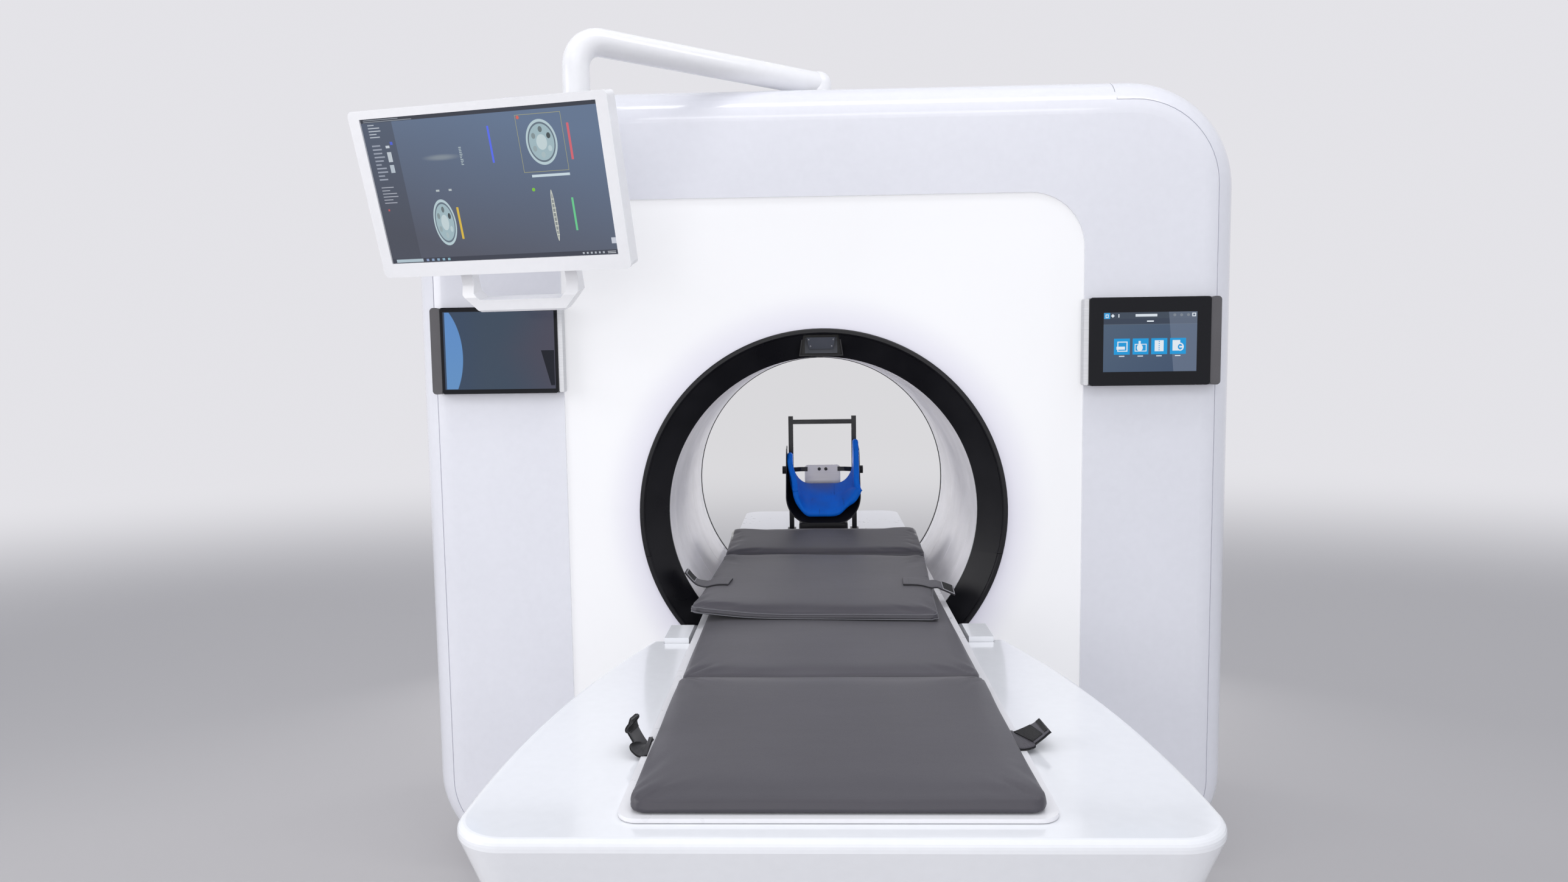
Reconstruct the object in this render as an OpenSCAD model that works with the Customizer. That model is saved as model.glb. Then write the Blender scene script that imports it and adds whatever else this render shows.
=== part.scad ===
// Cone-beam computed tomography scanner: a ring gantry with a lit front, a patient bed that
// runs through its bore, a head cradle, two touch panels and a monitor on a swivelling arm.
// Millimetres, +Z up. The origin is on the floor straight below the isocentre.
// -Y is the patient side, the front, and +X is to the right seen from there.

/* [Gantry casing] */
// Width of the casing
gantry_w = 2015; // [1850:5:2250]
// Height of its top above the floor
gantry_h = 1970; // [1850:5:2200]
// Depth from front to rear
gantry_d = 780; // [700:5:880]
// Gap between the casing and the floor
floor_gap = 15; // [5:1:40]
// Radius of the two upper corners, seen from the front
corner_top = 260; // [200:5:300]
// Radius of the two lower corners
corner_low = 230; // [180:5:300]
// Rounding of the front edge
edge_front = 90; // [70:1:110]
// Rounding of the rear edge
edge_rear = 60; // [40:1:80]
// Thickness of the casing's panels
wall = 6; // [4:0.5:8]
// How far the seam of the front panel lies inside the outline
seam = 57.5; // [45:0.5:75]
// Width of the seams between panels
seam_gap = 2.5; // [1:0.5:5]
// How far the seam of the rear cover lies inside the outline
rear_seam = 65; // [50:1:90]
// Distance of the top lid's ends from the upper corners
lid_end = 41.5; // [20:0.5:80]
// Drop of the lid's front seam below the top
lid_drop = 37; // [25:1:50]
// Distance of the lid's rear seam from the rear face
lid_back = 90; // [70:1:150]

/* [Lit front] */
// Casing left beside the lit sheet
light_side = 373.5; // [320:0.5:430]
// Casing left above the lit sheet
light_above = 270; // [230:5:330]
// Height of the sheet's lower edge
light_low = 300; // [240:5:360]
// Corner radius of the lit sheet
light_r = 130; // [80:5:180]
// Thickness of the opal sheet, and how far it lies behind the casing's face
sheet_t = 5; // [3:0.5:8]
// Overlap of the sheet behind the casing
sheet_lap = 14; // [8:1:25]

/* [Bore] */
// Height of the bore's axis
bore_z = 930; // [870:5:990]
// Clear radius of the bore
bore_r = 386; // [345:1:430]
// Thickness of the bore's liner
liner_t = 5; // [3:0.5:8]
// Width of the dark ring from the bore to the lit sheet
ring_w = 60; // [50:1:75]
// Lip of the ring over the sheet
ring_lip = 8; // [5:0.5:12]
// Depth of the ring's slope into the bore
ring_deep = 35; // [25:1:45]
// Split between the ring's halves, below the axis
ring_split = 104; // [60:1:160]
// Half width of the sensor's recess at its front
recess_w = 43; // [38:1:55]

/* [Bearing and rotor] */
// Inner radius of the bearing beyond the bore
bearing_out = 114; // [100:1:130]
// Radial width of the inner race
race_in_w = 43.95; // [38:0.05:50]
// Radial width of the outer race
race_out_w = 41; // [36:1:48]
// Running gap between the races
race_gap = 0.05; // [0.02:0.01:0.1]
// Height of the races along the axis
race_h = 50; // [40:1:60]
// Front face of the stator plate behind the isocentre
stator_y = 145; // [130:1:165]
// Thickness of the stator plate
stator_t = 27; // [20:1:35]
// Radius of the stator plate beyond the bore
stator_out = 414; // [390:1:440]
// Thickness of the rotor plate
rotor_t = 30; // [20:1:36]
// Radius of the rotor plate beyond the bore
rotor_out = 259; // [250:1:280]
// Width of the tube housing
source_w = 260; // [220:5:320]
// Height of the tube housing, outward
source_h = 225; // [190:5:240]
// Length of the tube housing along the axis
source_d = 210; // [180:5:230]
// Width of the flat detector
detector_w = 450; // [380:5:480]
// Length of the detector along the axis
detector_d = 210; // [180:5:240]
// Thickness of the detector
detector_t = 54; // [45:1:65]
// Width of the generator's case, outward
generator_w = 250; // [220:5:270]
// Height of the generator's case
generator_h = 280; // [240:5:320]
// Radial width of the slip ring
slip_w = 21; // [15:1:26]

/* [Touch panels] */
// Height of the middle of the touch panels
panel_z = 1341; // [1250:1:1450]
// Width of a panel's glass
panel_w = 288; // [250:1:320]
// Height of a panel
panel_h = 210; // [180:1:240]
// How far a panel stands out from the casing
panel_out = 30; // [24:1:40]
// Width of the grey cap at a panel's outer side
panel_cap = 24; // [16:1:32]
// Width of the silver trim at its inner side
trim_w = 11; // [7:1:16]
// Thickness of the glass
glass_t = 4; // [3:0.5:6]
// Width of the picture
picture_w = 220; // [190:1:240]
// Height of the picture
picture_h = 141; // [120:1:160]

/* [Monitor arm] */
// Place of the arm's post behind the casing's front
post_back = 190; // [150:5:260]
// Place of the post right of the middle
post_x = 2; // [-60:1:60]
// Height of the arm's tube above the casing
arm_rise = 42; // [38:1:90]
// Reach of the arm from the post to its leg
arm_len = 670.3; // [580:0.1:760]
// Heading of the arm, from +X toward +Y, in degrees
arm_dir = 217.6; // [205:0.1:235]
// Radius of the arm's tube
tube_r = 30; // [26:0.5:34]
// Wall of the arm's tube
tube_wall = 4; // [3:0.5:6]
// Radius of the arm's bend at the tube's middle
bend_r = 62; // [50:1:100]
// Length of the link from the leg to the tilt axis
link_len = 136.6; // [125:0.1:170]
// Heading of the link, in degrees
link_dir = 197.8; // [185:0.1:215]
// Radius of the link's bar
link_r = 17; // [13:0.5:20]

/* [Monitor] */
// Height of the middle of the screen
screen_z = 1673; // [1600:1:1720]
// Turn of the monitor about the vertical, in degrees
screen_yaw = -12.9; // [-25:0.1:0]
// Lean of the monitor, top toward the viewer, in degrees
screen_lean = 17.2; // [0:0.1:22]
// Width of the picture
screen_w = 532; // [480:1:560]
// Height of the picture
screen_h = 300; // [270:1:320]
// Bezel beside the picture
bezel_side = 25; // [18:0.5:32]
// Bezel above the picture
bezel_top = 17; // [12:0.5:25]
// Bezel below the picture
bezel_low = 30; // [20:0.5:38]
// Depth of the monitor's case
case_d = 42; // [36:1:50]
// Depth of the raised field at its back
hump_d = 12; // [8:1:18]
// Tilt axis behind the monitor's back field
yoke_reach = 62; // [56:1:75]
// Height of the handle below the picture's middle
handle_low = 274; // [250:1:300]
// Outer width of the handle
handle_w = 280; // [250:1:300]
// Thickness of the handle
handle_t = 28; // [22:1:34]

/* [Bed] */
// Sideways set-up of the bed
bed_x = 6; // [0:1:12]
// Drop of the bed plate's underside below the bore's axis
bed_drop = 224; // [205:1:245]
// Gap between the bed plate's edge and the bore
bed_gap = 17; // [12:1:24]
// Length of the bed plate
bed_len = 2606; // [2350:1:2800]
// Thickness of the bed plate
bed_t = 6; // [4:0.5:8]
// Half width of the hollow keel under the plate
keel_w = 172; // [150:1:190]
// Depth of the keel
keel_h = 42; // [36:1:46]
// Corner radius at the plate's far end
bed_r = 60; // [40:1:80]

/* [Table] */
// Length of the table cover
table_len = 885; // [800:5:980]
// Distance of the table from the gantry
table_gap = 330; // [290:5:370]
// Ledge of the cover beside the bed plate at its widest
ledge = 216; // [190:1:240]
// Radius of the table's long side curves
side_r = 2489; // [2250:1:2750]
// Straight length behind the front before the side curves in
straight = 100; // [60:5:160]
// Radius of the front corners
front_r = 80; // [60:1:95]
// Thickness of the cover's rim
lid_t = 16; // [14:0.5:20]
// Rounding of the rim
rim_r = 11; // [8:0.5:12]
// Height of the bed body below the rim
body_h = 181; // [150:1:210]
// Inward slope of the body's sides
body_in = 70; // [50:1:90]
// Thickness of the body's wall
body_t = 5; // [4:0.5:8]
// Inset of the pedestal from the table's outline
foot_in = 150; // [130:1:175]
// Side of the lift's outer tube
lift_w = 200; // [180:2:220]
// Wall of the lift's tubes
lift_t = 20; // [16:1:24]
// Running gap of the lift and of the bed's glides
glide_gap = 0.05; // [0.02:0.01:0.1]

/* [Pads] */
// Length of the foot pad
foot_pad_len = 522; // [470:1:570]
// Thickness of the foot pad
foot_pad_t = 25; // [20:1:30]
// Length of the middle pad
mid_pad_len = 916; // [830:1:980]
// Thickness of the middle pad
mid_pad_t = 20; // [16:1:24]
// Length of the overlay pad
overlay_len = 508; // [450:1:560]
// Front thickness of the overlay pad
overlay_t = 22; // [18:1:26]
// Rise of the overlay pad toward the head
overlay_rise = 24; // [16:1:30]
// Turn of the overlay pad, in degrees
overlay_turn = -2.9; // [-4:0.1:0]
// Length of the head pad
head_pad_len = 262; // [235:1:290]
// Front thickness of the head pad
head_pad_t = 66; // [60:1:74]
// Rise of the head pad to its rear
head_pad_rise = 28; // [20:1:34]
// Gap between pads
pad_gap = 2; // [1:0.5:4]
// Width of the straps
strap_w = 27; // [22:1:32]

/* [Head cradle] */
// Distance of the cradle's base behind the head pad
base_gap = 88; // [80:1:110]
// Length of the base
base_len = 190; // [170:1:220]
// Thickness of the base
base_t = 12; // [8:1:16]
// Half distance of the posts
post_half = 100; // [96:0.5:110]
// Side of a post
post_t = 15; // [12:0.5:17]
// Height of the posts above the bed plate
post_h = 417; // [370:1:460]
// Tilt axis of the cradle above the bore's axis
knob_up = 27; // [10:1:50]
// Gap between the posts and the cradle's ears
ear_gap = 3.5; // [2.5:0.5:6]
// Wall of the cradle's shell
shell_t = 3; // [2.5:0.5:5]
// Rounding of the cradle's lower edges
cradle_r = 74; // [60:1:90]
// Lean of the cradle's trough, in degrees
cradle_lean = 32; // [26:0.5:38]
// Thickness of the cradle's foam
foam_t = 17; // [12:0.5:20]
// Radius of the clamping knobs
knob_r = 12.5; // [10:0.5:15]

/* [Hidden] */
$fn = 96;

// finishes
c_shell = [0.90, 0.90, 0.93];
c_light = [0.99, 0.99, 1.00];
c_black = [0.09, 0.09, 0.10];
c_liner = [0.84, 0.83, 0.85];
c_steel = [0.66, 0.66, 0.68];
c_paint = [0.43, 0.46, 0.50];
c_pad = [0.37, 0.36, 0.40];
c_foam = [0.00, 0.33, 0.67];

// worked-out sizes are kept to a tenth, so that faces that meet do so exactly
function tenth(v) = round(10*v)/10;

// gantry: half width, half depth, top, underside
gw = gantry_w/2;
gd = gantry_d/2;
gt = gantry_h;
gb = floor_gap;
front = -gd;
lid_w = gw - corner_top - lid_end;
lid_y = gd - lid_back;
light_w = gw - light_side;
light_top = gt - light_above;
hole_r = bore_r + ring_w;
ring_r = hole_r + ring_lip;
liner_y0 = front + ring_deep + 6;
liner_y1 = gd - 39;

// bearing: inner race from r_in1 to r_in2, outer race from r_out1 to r_out2
r_in1 = bore_r + bearing_out;
r_in2 = r_in1 + race_in_w;
r_out1 = r_in2 + race_gap;
r_out2 = r_out1 + race_out_w;
stator_r = bore_r + stator_out;
rotor_y = stator_y - race_h - 5 - rotor_t;
rotor_r = bore_r + rotor_out;
face_y = rotor_y + rotor_t;
box_y = rotor_y;
shelf_z = gt - 120;

// touch panels: glass from px0 to px1, seen from the front on the right side
px2 = gw - seam;
px1 = px2 - panel_cap;
px0 = px1 - panel_w;
pz0 = panel_z - panel_h/2;
pz1 = panel_z + panel_h/2;
glass_y = front - panel_out;
picture_x = (px0 + px1)/2;
picture_z = panel_z - 1.5;
bracket_x = gw - 147.5;

// arm: post, leg and tilt axis
arm_z = gt + arm_rise;
post_y = front + post_back;
leg = [post_x + arm_len*cos(arm_dir), post_y + arm_len*sin(arm_dir)];
pivot = leg + link_len*[cos(link_dir), sin(link_dir)];
yoke_y = case_d - 4 + hump_d + yoke_reach;
pivot_z = screen_z + yoke_y*sin(screen_lean);
screen_c = [pivot[0] + yoke_y*cos(screen_lean)*sin(screen_yaw),
  pivot[1] - yoke_y*cos(screen_lean)*cos(screen_yaw), screen_z];
leg_low = tenth(pivot_z - 56);
hub_z = leg_low + 25;
knee = 45;
knee_at = [link_len + knee*cos(90 + screen_yaw - link_dir), knee*sin(90 + screen_yaw - link_dir)];
barrel_r = 22;
pin_r = 8;

// bed and table
bed_z = bore_z - bed_drop;
bed_top = bed_z + bed_t;
bed_w = tenth(sqrt(pow(bore_r - bed_gap, 2) - bed_drop*bed_drop));
lid_z = bed_z - 1;
rim_z = lid_z - lid_t;
body_z = rim_z - body_h;
table_w = bed_w + ledge;
table_y1 = front - table_gap;
table_y0 = table_y1 - table_len;
curve_y = table_y0 + straight;
tail_w = tenth(table_w - side_r + sqrt(side_r*side_r - pow(table_y1 - curve_y, 2)));
bridge_w = tail_w - 31;
channel_w = bed_w - 48;
beam_w = channel_w - 11;
deck_z = bed_z - 106;
lift_y = table_y1 - 390;
bed_y0 = table_y0 + 47;
bed_y1 = bed_y0 + bed_len;

// pads, one behind the other
foot_y0 = bed_y0 + 6;
foot_y1 = foot_y0 + foot_pad_len;
mid_y0 = foot_y1 + pad_gap;
mid_y1 = mid_y0 + mid_pad_len;
head_y0 = mid_y1 + pad_gap;
head_y1 = head_y0 + head_pad_len;
foot_w = bed_w - 9;
mid_w = bed_w - 18;
head_w = bed_w - 11;
mid_top = bed_top + mid_pad_t;
overlay_y0 = mid_y1 - overlay_len;
overlay_x = bed_x - 30;
overlay_z = mid_top + 0.3;
overlay_full = overlay_len + 20;
rise_1 = overlay_rise/(overlay_full - 18);

// head cradle
base_y0 = head_y1 + base_gap;
post_cy = base_y0 + 90;
knob_y = post_cy;
knob_z = bore_z + knob_up;
post_top = bed_top + post_h;
cradle_w = post_half + post_t/2 + ear_gap + shell_t;
trough_y = post_cy - 162;
trough_z = knob_z - 127;
stud_len = 10;

// shape drawn in (x, z), from y0 to y1
module xz(y0, y1) { translate([0, y1, 0]) rotate([90, 0, 0]) linear_extrude(y1 - y0) children(); }

// shape drawn in (y, z), from x0 to x1
module yz(x0, x1) { translate([x0, 0, 0]) rotate([90, 0, 90]) linear_extrude(x1 - x0) children(); }

// shape drawn in (x, y), from z0 to z1
module xy(z0, z1) { translate([0, 0, z0]) linear_extrude(z1 - z0) children(); }

// shape drawn in (radius, y), turned about the bore's axis
module about_bore() {
  translate([0, 0, bore_z]) rotate([90, 0, 0]) rotate_extrude($fn = 240) mirror([0, 1]) children();
}

module both() { for (s = [0, 1]) mirror([s, 0, 0]) children(); }

module at_bed() { translate([bed_x, 0, 0]) children(); }

module box(a, b) { translate(a) cube([b[0] - a[0], b[1] - a[1], b[2] - a[2]]); }

// rectangle with round corners, made of straight strips and four discs
module rrect(x0, y0, x1, y1, r) {
  translate([x0 + r, y0]) square([x1 - x0 - 2*r, y1 - y0]);
  translate([x0, y0 + r]) square([x1 - x0, y1 - y0 - 2*r]);
  for (x = [x0 + r, x1 - r], y = [y0 + r, y1 - r]) translate([x, y]) circle(r);
}

// hole or pin along y, x or z
module rod_y(x, y0, y1, z, r, f = 48) {
  translate([x, y1, z]) rotate([90, 0, 0]) cylinder(r = r, h = y1 - y0, $fn = f);
}

module rod_x(x0, x1, y, z, r, f = 48) {
  translate([x0, y, z]) rotate([0, 90, 0]) cylinder(r = r, h = x1 - x0, $fn = f);
}

// outline of the gantry seen from the front, inset by i
module outline(i = 0) {
  x = gw - i; t = gt - i; b = gb + i; r1 = corner_top - i; r2 = corner_low - i;
  translate([-x, b + r2]) square([2*x, t - r1 - b - r2]);
  translate([-x + r1, t - r1]) square([2*(x - r1), r1]);
  translate([-x + r2, b]) square([2*(x - r2), r2]);
  for (s = [-1, 1]) {
    translate([s*(x - r1), t - r1]) circle(r1, $fn = 192);
    translate([s*(x - r2), b + r2]) circle(r2, $fn = 192);
  }
}

// half section through the casing's rim: first axis outward, second axis toward the front
module edge(r, i) {
  a = edge_front - i; b = edge_rear - i; y = gd - i;
  translate([0, b - y]) square([r, 2*y - a - b]);
  translate([0, y - a]) square([r - a, a]);
  translate([r - a, y - a]) circle(a, $fn = 96);
  translate([0, -y]) square([r - b, b]);
  translate([r - b, b - y]) circle(b, $fn = 96);
}

// the casing as one solid, inset by i: the rim section is swept round the outline, straight
// along the four sides and turned at the four corners
module casing(i) {
  r1 = corner_top - i; r2 = corner_low - i;
  x1 = gw - corner_top; x2 = gw - corner_low; z1 = gt - corner_top; z2 = gb + corner_low;
  both() {
    translate([x1, 0, z1]) rotate([90, 0, 0]) rotate_extrude(angle = 90, $fn = 192) edge(r1, i);
    translate([x2, 0, z2]) rotate([90, 0, 0]) rotate([0, 0, -90])
      rotate_extrude(angle = 90, $fn = 192) edge(r2, i);
    translate([x1, 0, z2]) linear_extrude(z1 - z2) mirror([0, 1]) edge(gw - x1 - i, i);
  }
  translate([x1, 0, z1]) rotate([0, -90, 0]) linear_extrude(2*x1) mirror([0, 1]) edge(r1, i);
  translate([x2, 0, z2]) mirror([0, 0, 1]) rotate([0, -90, 0])
    linear_extrude(2*x2) mirror([0, 1]) edge(r2, i);
  box([-x1, i - gd, z2], [x1, gd - i, z1]);
}

module shell() { difference() { casing(0); casing(wall); } }

module front_panel() color(c_shell) {
  difference() {
    intersection() {
      shell();
      union() {
        xz(front - 5, front + 40) outline(seam);
        box([-lid_w, front - 5, gt - 90], [lid_w, front + 40, gt - lid_drop]);
      }
    }
    xz(front - 5, front + 60) rrect(-light_w, light_low, light_w, light_top, light_r);
    both() box([picture_x - 60, front - 5, panel_z - 41], [picture_x + 60, front + 20, panel_z + 39]);
  }
}

module wrap_shell() color(c_shell) {
  difference() {
    shell();
    xz(front - 5, front + 60) outline(seam);
    xz(front - 5, front + 10) difference() { outline(seam - seam_gap); outline(seam); }
    box([-lid_w, front - 5, gt - 170], [lid_w, lid_y, gt + 5]);
    box([-lid_w - 3, front - 5, gt - 58], [lid_w + 3, front + 9, gt + 5]);
    xz(gd - 30, gd + 5) outline(rear_seam);
    box([247.5 - gw, 60 - gd, 0], [gw - 247.5, gd - 60, gb + 45]);
  }
}

// rear cover with a round way out of the bore and louvres for the drive's warm air
module rear_cover() color(c_shell) {
  difference() {
    intersection() { shell(); xz(gd - 30, gd + 5) outline(rear_seam); }
    rod_y(0, gd - 35, gd + 5, bore_z, bore_r + 18, 240);
    for (i = [0 : 6]) box([-210, gd - 20, gb + 155 + i*22], [210, gd + 5, gb + 165 + i*22]);
  }
}

module top_lid() color(c_shell) {
  difference() {
    intersection() {
      shell();
      box([-lid_w, front - 5, gt - lid_drop], [lid_w, lid_y, gt + 5]);
    }
    box([-lid_w - 1, front - 5, gt - lid_drop - 1], [lid_w + 1, front + 16.5, gt - lid_drop + 2]);
    both() box([lid_w - 1.5, front - 1, gt - lid_drop], [lid_w + 1.5, lid_y - 40, gt + 5]);
    translate([post_x, post_y, gt - 70]) cylinder(r = 40, h = 100);
  }
}

module light_diffuser() color(c_light) {
  difference() {
    xz(front + wall, front + wall + sheet_t) rrect(-light_w - sheet_lap, light_low - sheet_lap,
      light_w + sheet_lap, light_top + sheet_lap, light_r + sheet_lap);
    rod_y(0, front - 50, front + 50, bore_z, hole_r + 0.2, 240);
  }
}

// dark ring: lip over the lit sheet, bead, long slope into the bore, inner collar
module ring_profile() {
  polygon([[ring_r, front + wall], [ring_r, front - 2], [ring_r - 1, front - 4.5], [ring_r - 3, front - 6],
    [hole_r - 2, front - 6], [hole_r - 4.6, front - 4.4], [hole_r - 6, front - 1],
    [bore_r - 1, front + ring_deep], [bore_r - 1, front + ring_deep + 6],
    [bore_r + 10, front + ring_deep + 6], [hole_r, front + wall]]);
}

// plan of the sensor's recess, wider toward the bore, with i of wall round it
module recess(i) {
  xz(front - 30, front + ring_deep + (i > 0 ? 5 : -1)) polygon([[-recess_w - 8 - i, bore_z + bore_r + 4 - i],
    [recess_w + 8 + i, bore_z + bore_r + 4 - i], [recess_w + i, bore_z + hole_r - 7 + i],
    [-recess_w - i, bore_z + hole_r - 7 + i]]);
}

module ring_body() {
  difference() {
    union() {
      about_bore() ring_profile();
      intersection() {
        recess(3);
        box([-gw, front + wall, 0], [gw, front + ring_deep + 5, gt]);
      }
    }
    recess(0);
  }
}

module bore_ring_upper() color(c_black) {
  difference() {
    ring_body();
    box([-gw, front - 30, 0], [gw, front + 90, bore_z - ring_split]);
    box([-gw, front - 30, 0], [gw, front + 2, bore_z - ring_split + 1]);
  }
}

module bore_ring_lower() color(c_black) {
  intersection() { ring_body(); box([-gw, front - 30, 0], [gw, front + 90, bore_z - ring_split]); }
}

// sensor housing in the recess: a sloped trapezoid face with four screws on a back plate
module sensor_module() color([0.22, 0.22, 0.24]) {
  z0 = bore_z + bore_r + 8; z1 = bore_z + hole_r - 14; y1 = front + ring_deep - 1; w = recess_w - 8;
  intersection() {
    xz(front, y1) polygon([[-w, z1], [w, z1], [w - 6, z1 - 28], [w - 6, z0], [6 - w, z0], [6 - w, z1 - 28]]);
    yz(-w, w) polygon([[front + 3, z1], [front + 17, z1 - 28], [front + 27, z1 - 28], [front + 27, z0],
      [y1, z0], [y1, z1]]);
  }
  box([3 - recess_w, y1 - 5, z0], [recess_w - 3, y1, z1]);
  for (s = [-1, 1], d = [[w - 5, 6], [w - 9, 22]])
    translate([s*d[0], front + 3.9 + d[1]/2, z1 - d[1] + 0.4]) rotate([116.6, 0, 0])
      cylinder(r = 2, h = 2.4, $fn = 24);
}

// bore liner with four fine rings where its moulded lengths meet
module bore_liner() color(c_liner) {
  about_bore() difference() {
    translate([bore_r, liner_y0]) square([liner_t, liner_y1 - liner_y0]);
    for (y = [-250, -60, 130, 300]) translate([bore_r - 1, y]) square([1.8, 2.5]);
  }
}

module rear_bore_ring() color(c_black) {
  about_bore() polygon([[bore_r - 2, liner_y1], [bore_r - 2, liner_y1 + 9], [bore_r + 16, gd + 4],
    [bore_r + 30, gd + 4], [bore_r + 30, gd], [bore_r + 18, gd], [bore_r + liner_t, liner_y1 + 13],
    [bore_r + liner_t, liner_y1]]);
}

// welded frame: floor plate, stator plate with its webs, arms to the casing, shelf for the
// monitor arm's post
module gantry_frame() color(c_paint) {
  y1 = stator_y + stator_t;
  difference() {
    union() {
      box([267.5 - gw, 90 - gd, 0], [gw - 267.5, gd - 90, 22]);
      xz(stator_y, y1) difference() {
        union() {
          translate([267.5 - gw, 22]) square([2*gw - 535, bore_z - 22]);
          translate([0, bore_z]) circle(stator_r, $fn = 240);
        }
        translate([0, bore_z]) circle(r_out1 + 11, $fn = 240);
      }
      both() {
        yz(508, 532) polygon([[110 - gd, 22], [stator_y, 22], [stator_y, 340]]);
        yz(508, 532) polygon([[y1, 22], [gd - 100, 22], [y1, 700]]);
        for (z = [bore_z - 410, bore_z + 370]) box([650, stator_y, z], [gw - wall, y1, z + 60]);
        for (z = [bore_z - 330, bore_z + 370]) box([570, y1, z], [630, gd - wall, z + 60]);
        for (z = [panel_z - 241, panel_z + 179]) {
          box([bracket_x - 25, front + wall, z], [bracket_x + 25, stator_y + 5, z + 50]);
          box([z > bore_z + 500 ? stator_r/2 : stator_r - 140, stator_y, z], [bracket_x + 25, y1, z + 50]);
        }
      }
      box([-80, stator_y, bore_z + stator_r - 30], [80, y1, gt - wall]);
      box([-80, 100 - gd, shelf_z], [80, y1, shelf_z + 20]);
      both() box([60, 100 - gd, shelf_z], [80, stator_y + 5, shelf_z + 60]);
      box([post_x - 50, post_y - 50, shelf_z + 15], [post_x + 50, post_y + 50, shelf_z + 50]);
    }
    translate([post_x, post_y, shelf_z - 10]) cylinder(r = 12, h = 80, $fn = 48);
  }
}

module bearing_outer_race() color(c_steel) {
  about_bore() difference() {
    translate([r_out1, stator_y - race_h]) square([race_out_w, race_h]);
    translate([r_out1 - 1, stator_y - 29]) square([4, 8]);
  }
}

module bearing_inner_race() color(c_steel) {
  about_bore() difference() {
    translate([r_in1, face_y]) square([race_in_w, race_h]);
    translate([r_in2 - 3, stator_y - 29]) square([4, 8]);
  }
}

// rotor plate with its drive drum and six lightening holes
module rotor_plate() color([0.72, 0.73, 0.75]) {
  difference() {
    union() {
      about_bore() translate([bore_r + 44, rotor_y]) square([rotor_out - 44, rotor_t]);
      about_bore() translate([r_out2 + 5, face_y]) square([10, race_h - 5]);
    }
    for (a = [30 : 60 : 330]) translate([0, 0, bore_z]) rotate([0, a, 0])
      translate([0, face_y + 10, r_out2 + 5]) rotate([90, 0, 0]) cylinder(r = 32, h = rotor_t + 30, $fn = 48);
  }
}

// tube housing with its collimator below and the anode motor's cap in front
module xray_source() color([0.70, 0.71, 0.73]) {
  z0 = bore_z + rotor_r - 155;
  difference() {
    union() {
      xz(box_y - source_d, box_y) rrect(-source_w/2, z0, source_w/2, z0 + source_h, 24);
      box([-70, box_y - 120, z0 - 58], [70, box_y, z0 + 1]);
      rod_y(0, box_y - source_d - 30, box_y - source_d, z0 + source_h/2 + 8, 70, 96);
    }
    translate([0, box_y - 60, z0 - 65]) cylinder(r = 34, h = 60, $fn = 64);
    box([-60, box_y - 74, z0 - 65], [60, box_y - 46, z0 - 44]);
  }
}

module flat_detector() color([0.17, 0.18, 0.20]) {
  z1 = bore_z - bore_r - 22; z0 = z1 - detector_t;
  difference() {
    union() {
      box([-detector_w/2, box_y - detector_d, z0], [detector_w/2, box_y, z1]);
      both() box([138, box_y - detector_d + 40, z0 - 58], [162, box_y, z0 + 1]);
    }
    box([20 - detector_w/2, box_y - detector_d + 15, z1 - 3], [detector_w/2 - 20, box_y - 15, z1 + 8]);
  }
}

// generator in its case, with cooling fins outward
module hv_generator() color([0.70, 0.71, 0.73]) {
  x0 = -bore_r - 334; z0 = bore_z - generator_h/2;
  xz(box_y - 190, box_y) rrect(x0, z0, x0 + generator_w, z0 + generator_h, 12);
  for (y = [box_y - 170 : 28 : box_y - 30]) box([x0 - 15, y, z0 + 40], [x0 + 1, y + 12, z0 + generator_h - 40]);
}

module slip_ring() color([0.75, 0.58, 0.30]) {
  about_bore() difference() {
    translate([bore_r + 45, face_y]) square([slip_w, 125]);
    for (y = [88, 100, 112]) translate([bore_r + 44 + slip_w - 0.5, face_y + y]) square([3, 7]);
  }
}

module brush_block() color(c_black) {
  y1 = stator_y + stator_t; z0 = bore_z + bore_r + 45 + slip_w;
  difference() {
    box([-45, y1, z0 + 18], [45, y1 + 40, z0 + 188]);
    rod_y(0, y1 - 2, y1 + 58, z0 + 168, 8);
  }
  for (y = [89.5, 101.5, 113.5]) box([-6, face_y + y, z0 - 1.1], [6, face_y + y + 4, z0 + 19]);
}

module drive_stator() color([0.32, 0.33, 0.35]) {
  difference() {
    about_bore() translate([r_out2 + 21, stator_y - 47]) square([46, 47]);
    for (a = [0 : 15 : 345]) translate([0, 0, bore_z]) rotate([0, a, 0])
      translate([0, stator_y - 45.5, r_out2 + 44]) rotate([90, 0, 0]) cylinder(r = 4, h = 10, $fn = 24);
  }
}

module panel_side(left) { mirror([left ? 1 : 0, 0, 0]) children(); }

// touch panel's housing: frame, grey end cap, foot that plugs through the casing
module panel_housing(left) color([0.33, 0.32, 0.34]) {
  panel_side(left) difference() {
    union() {
      xz(glass_y + glass_t, front) rrect(px0, pz0, px1 + 4, pz1, 10);
      xz(glass_y + 2, front) rrect(px1, pz0, px2, pz1, 9);
      box([picture_x - 60, front, panel_z - 41], [picture_x + 60, front + wall + 8, panel_z + 39]);
      box([picture_x - 80, front + wall, panel_z - 55], [picture_x + 80, front + wall + 8, panel_z + 53]);
    }
    box([px0 + 12, glass_y + glass_t, pz0 + 12], [px1 - 12, glass_y + 18, pz1 - 12]);
  }
}

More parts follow.
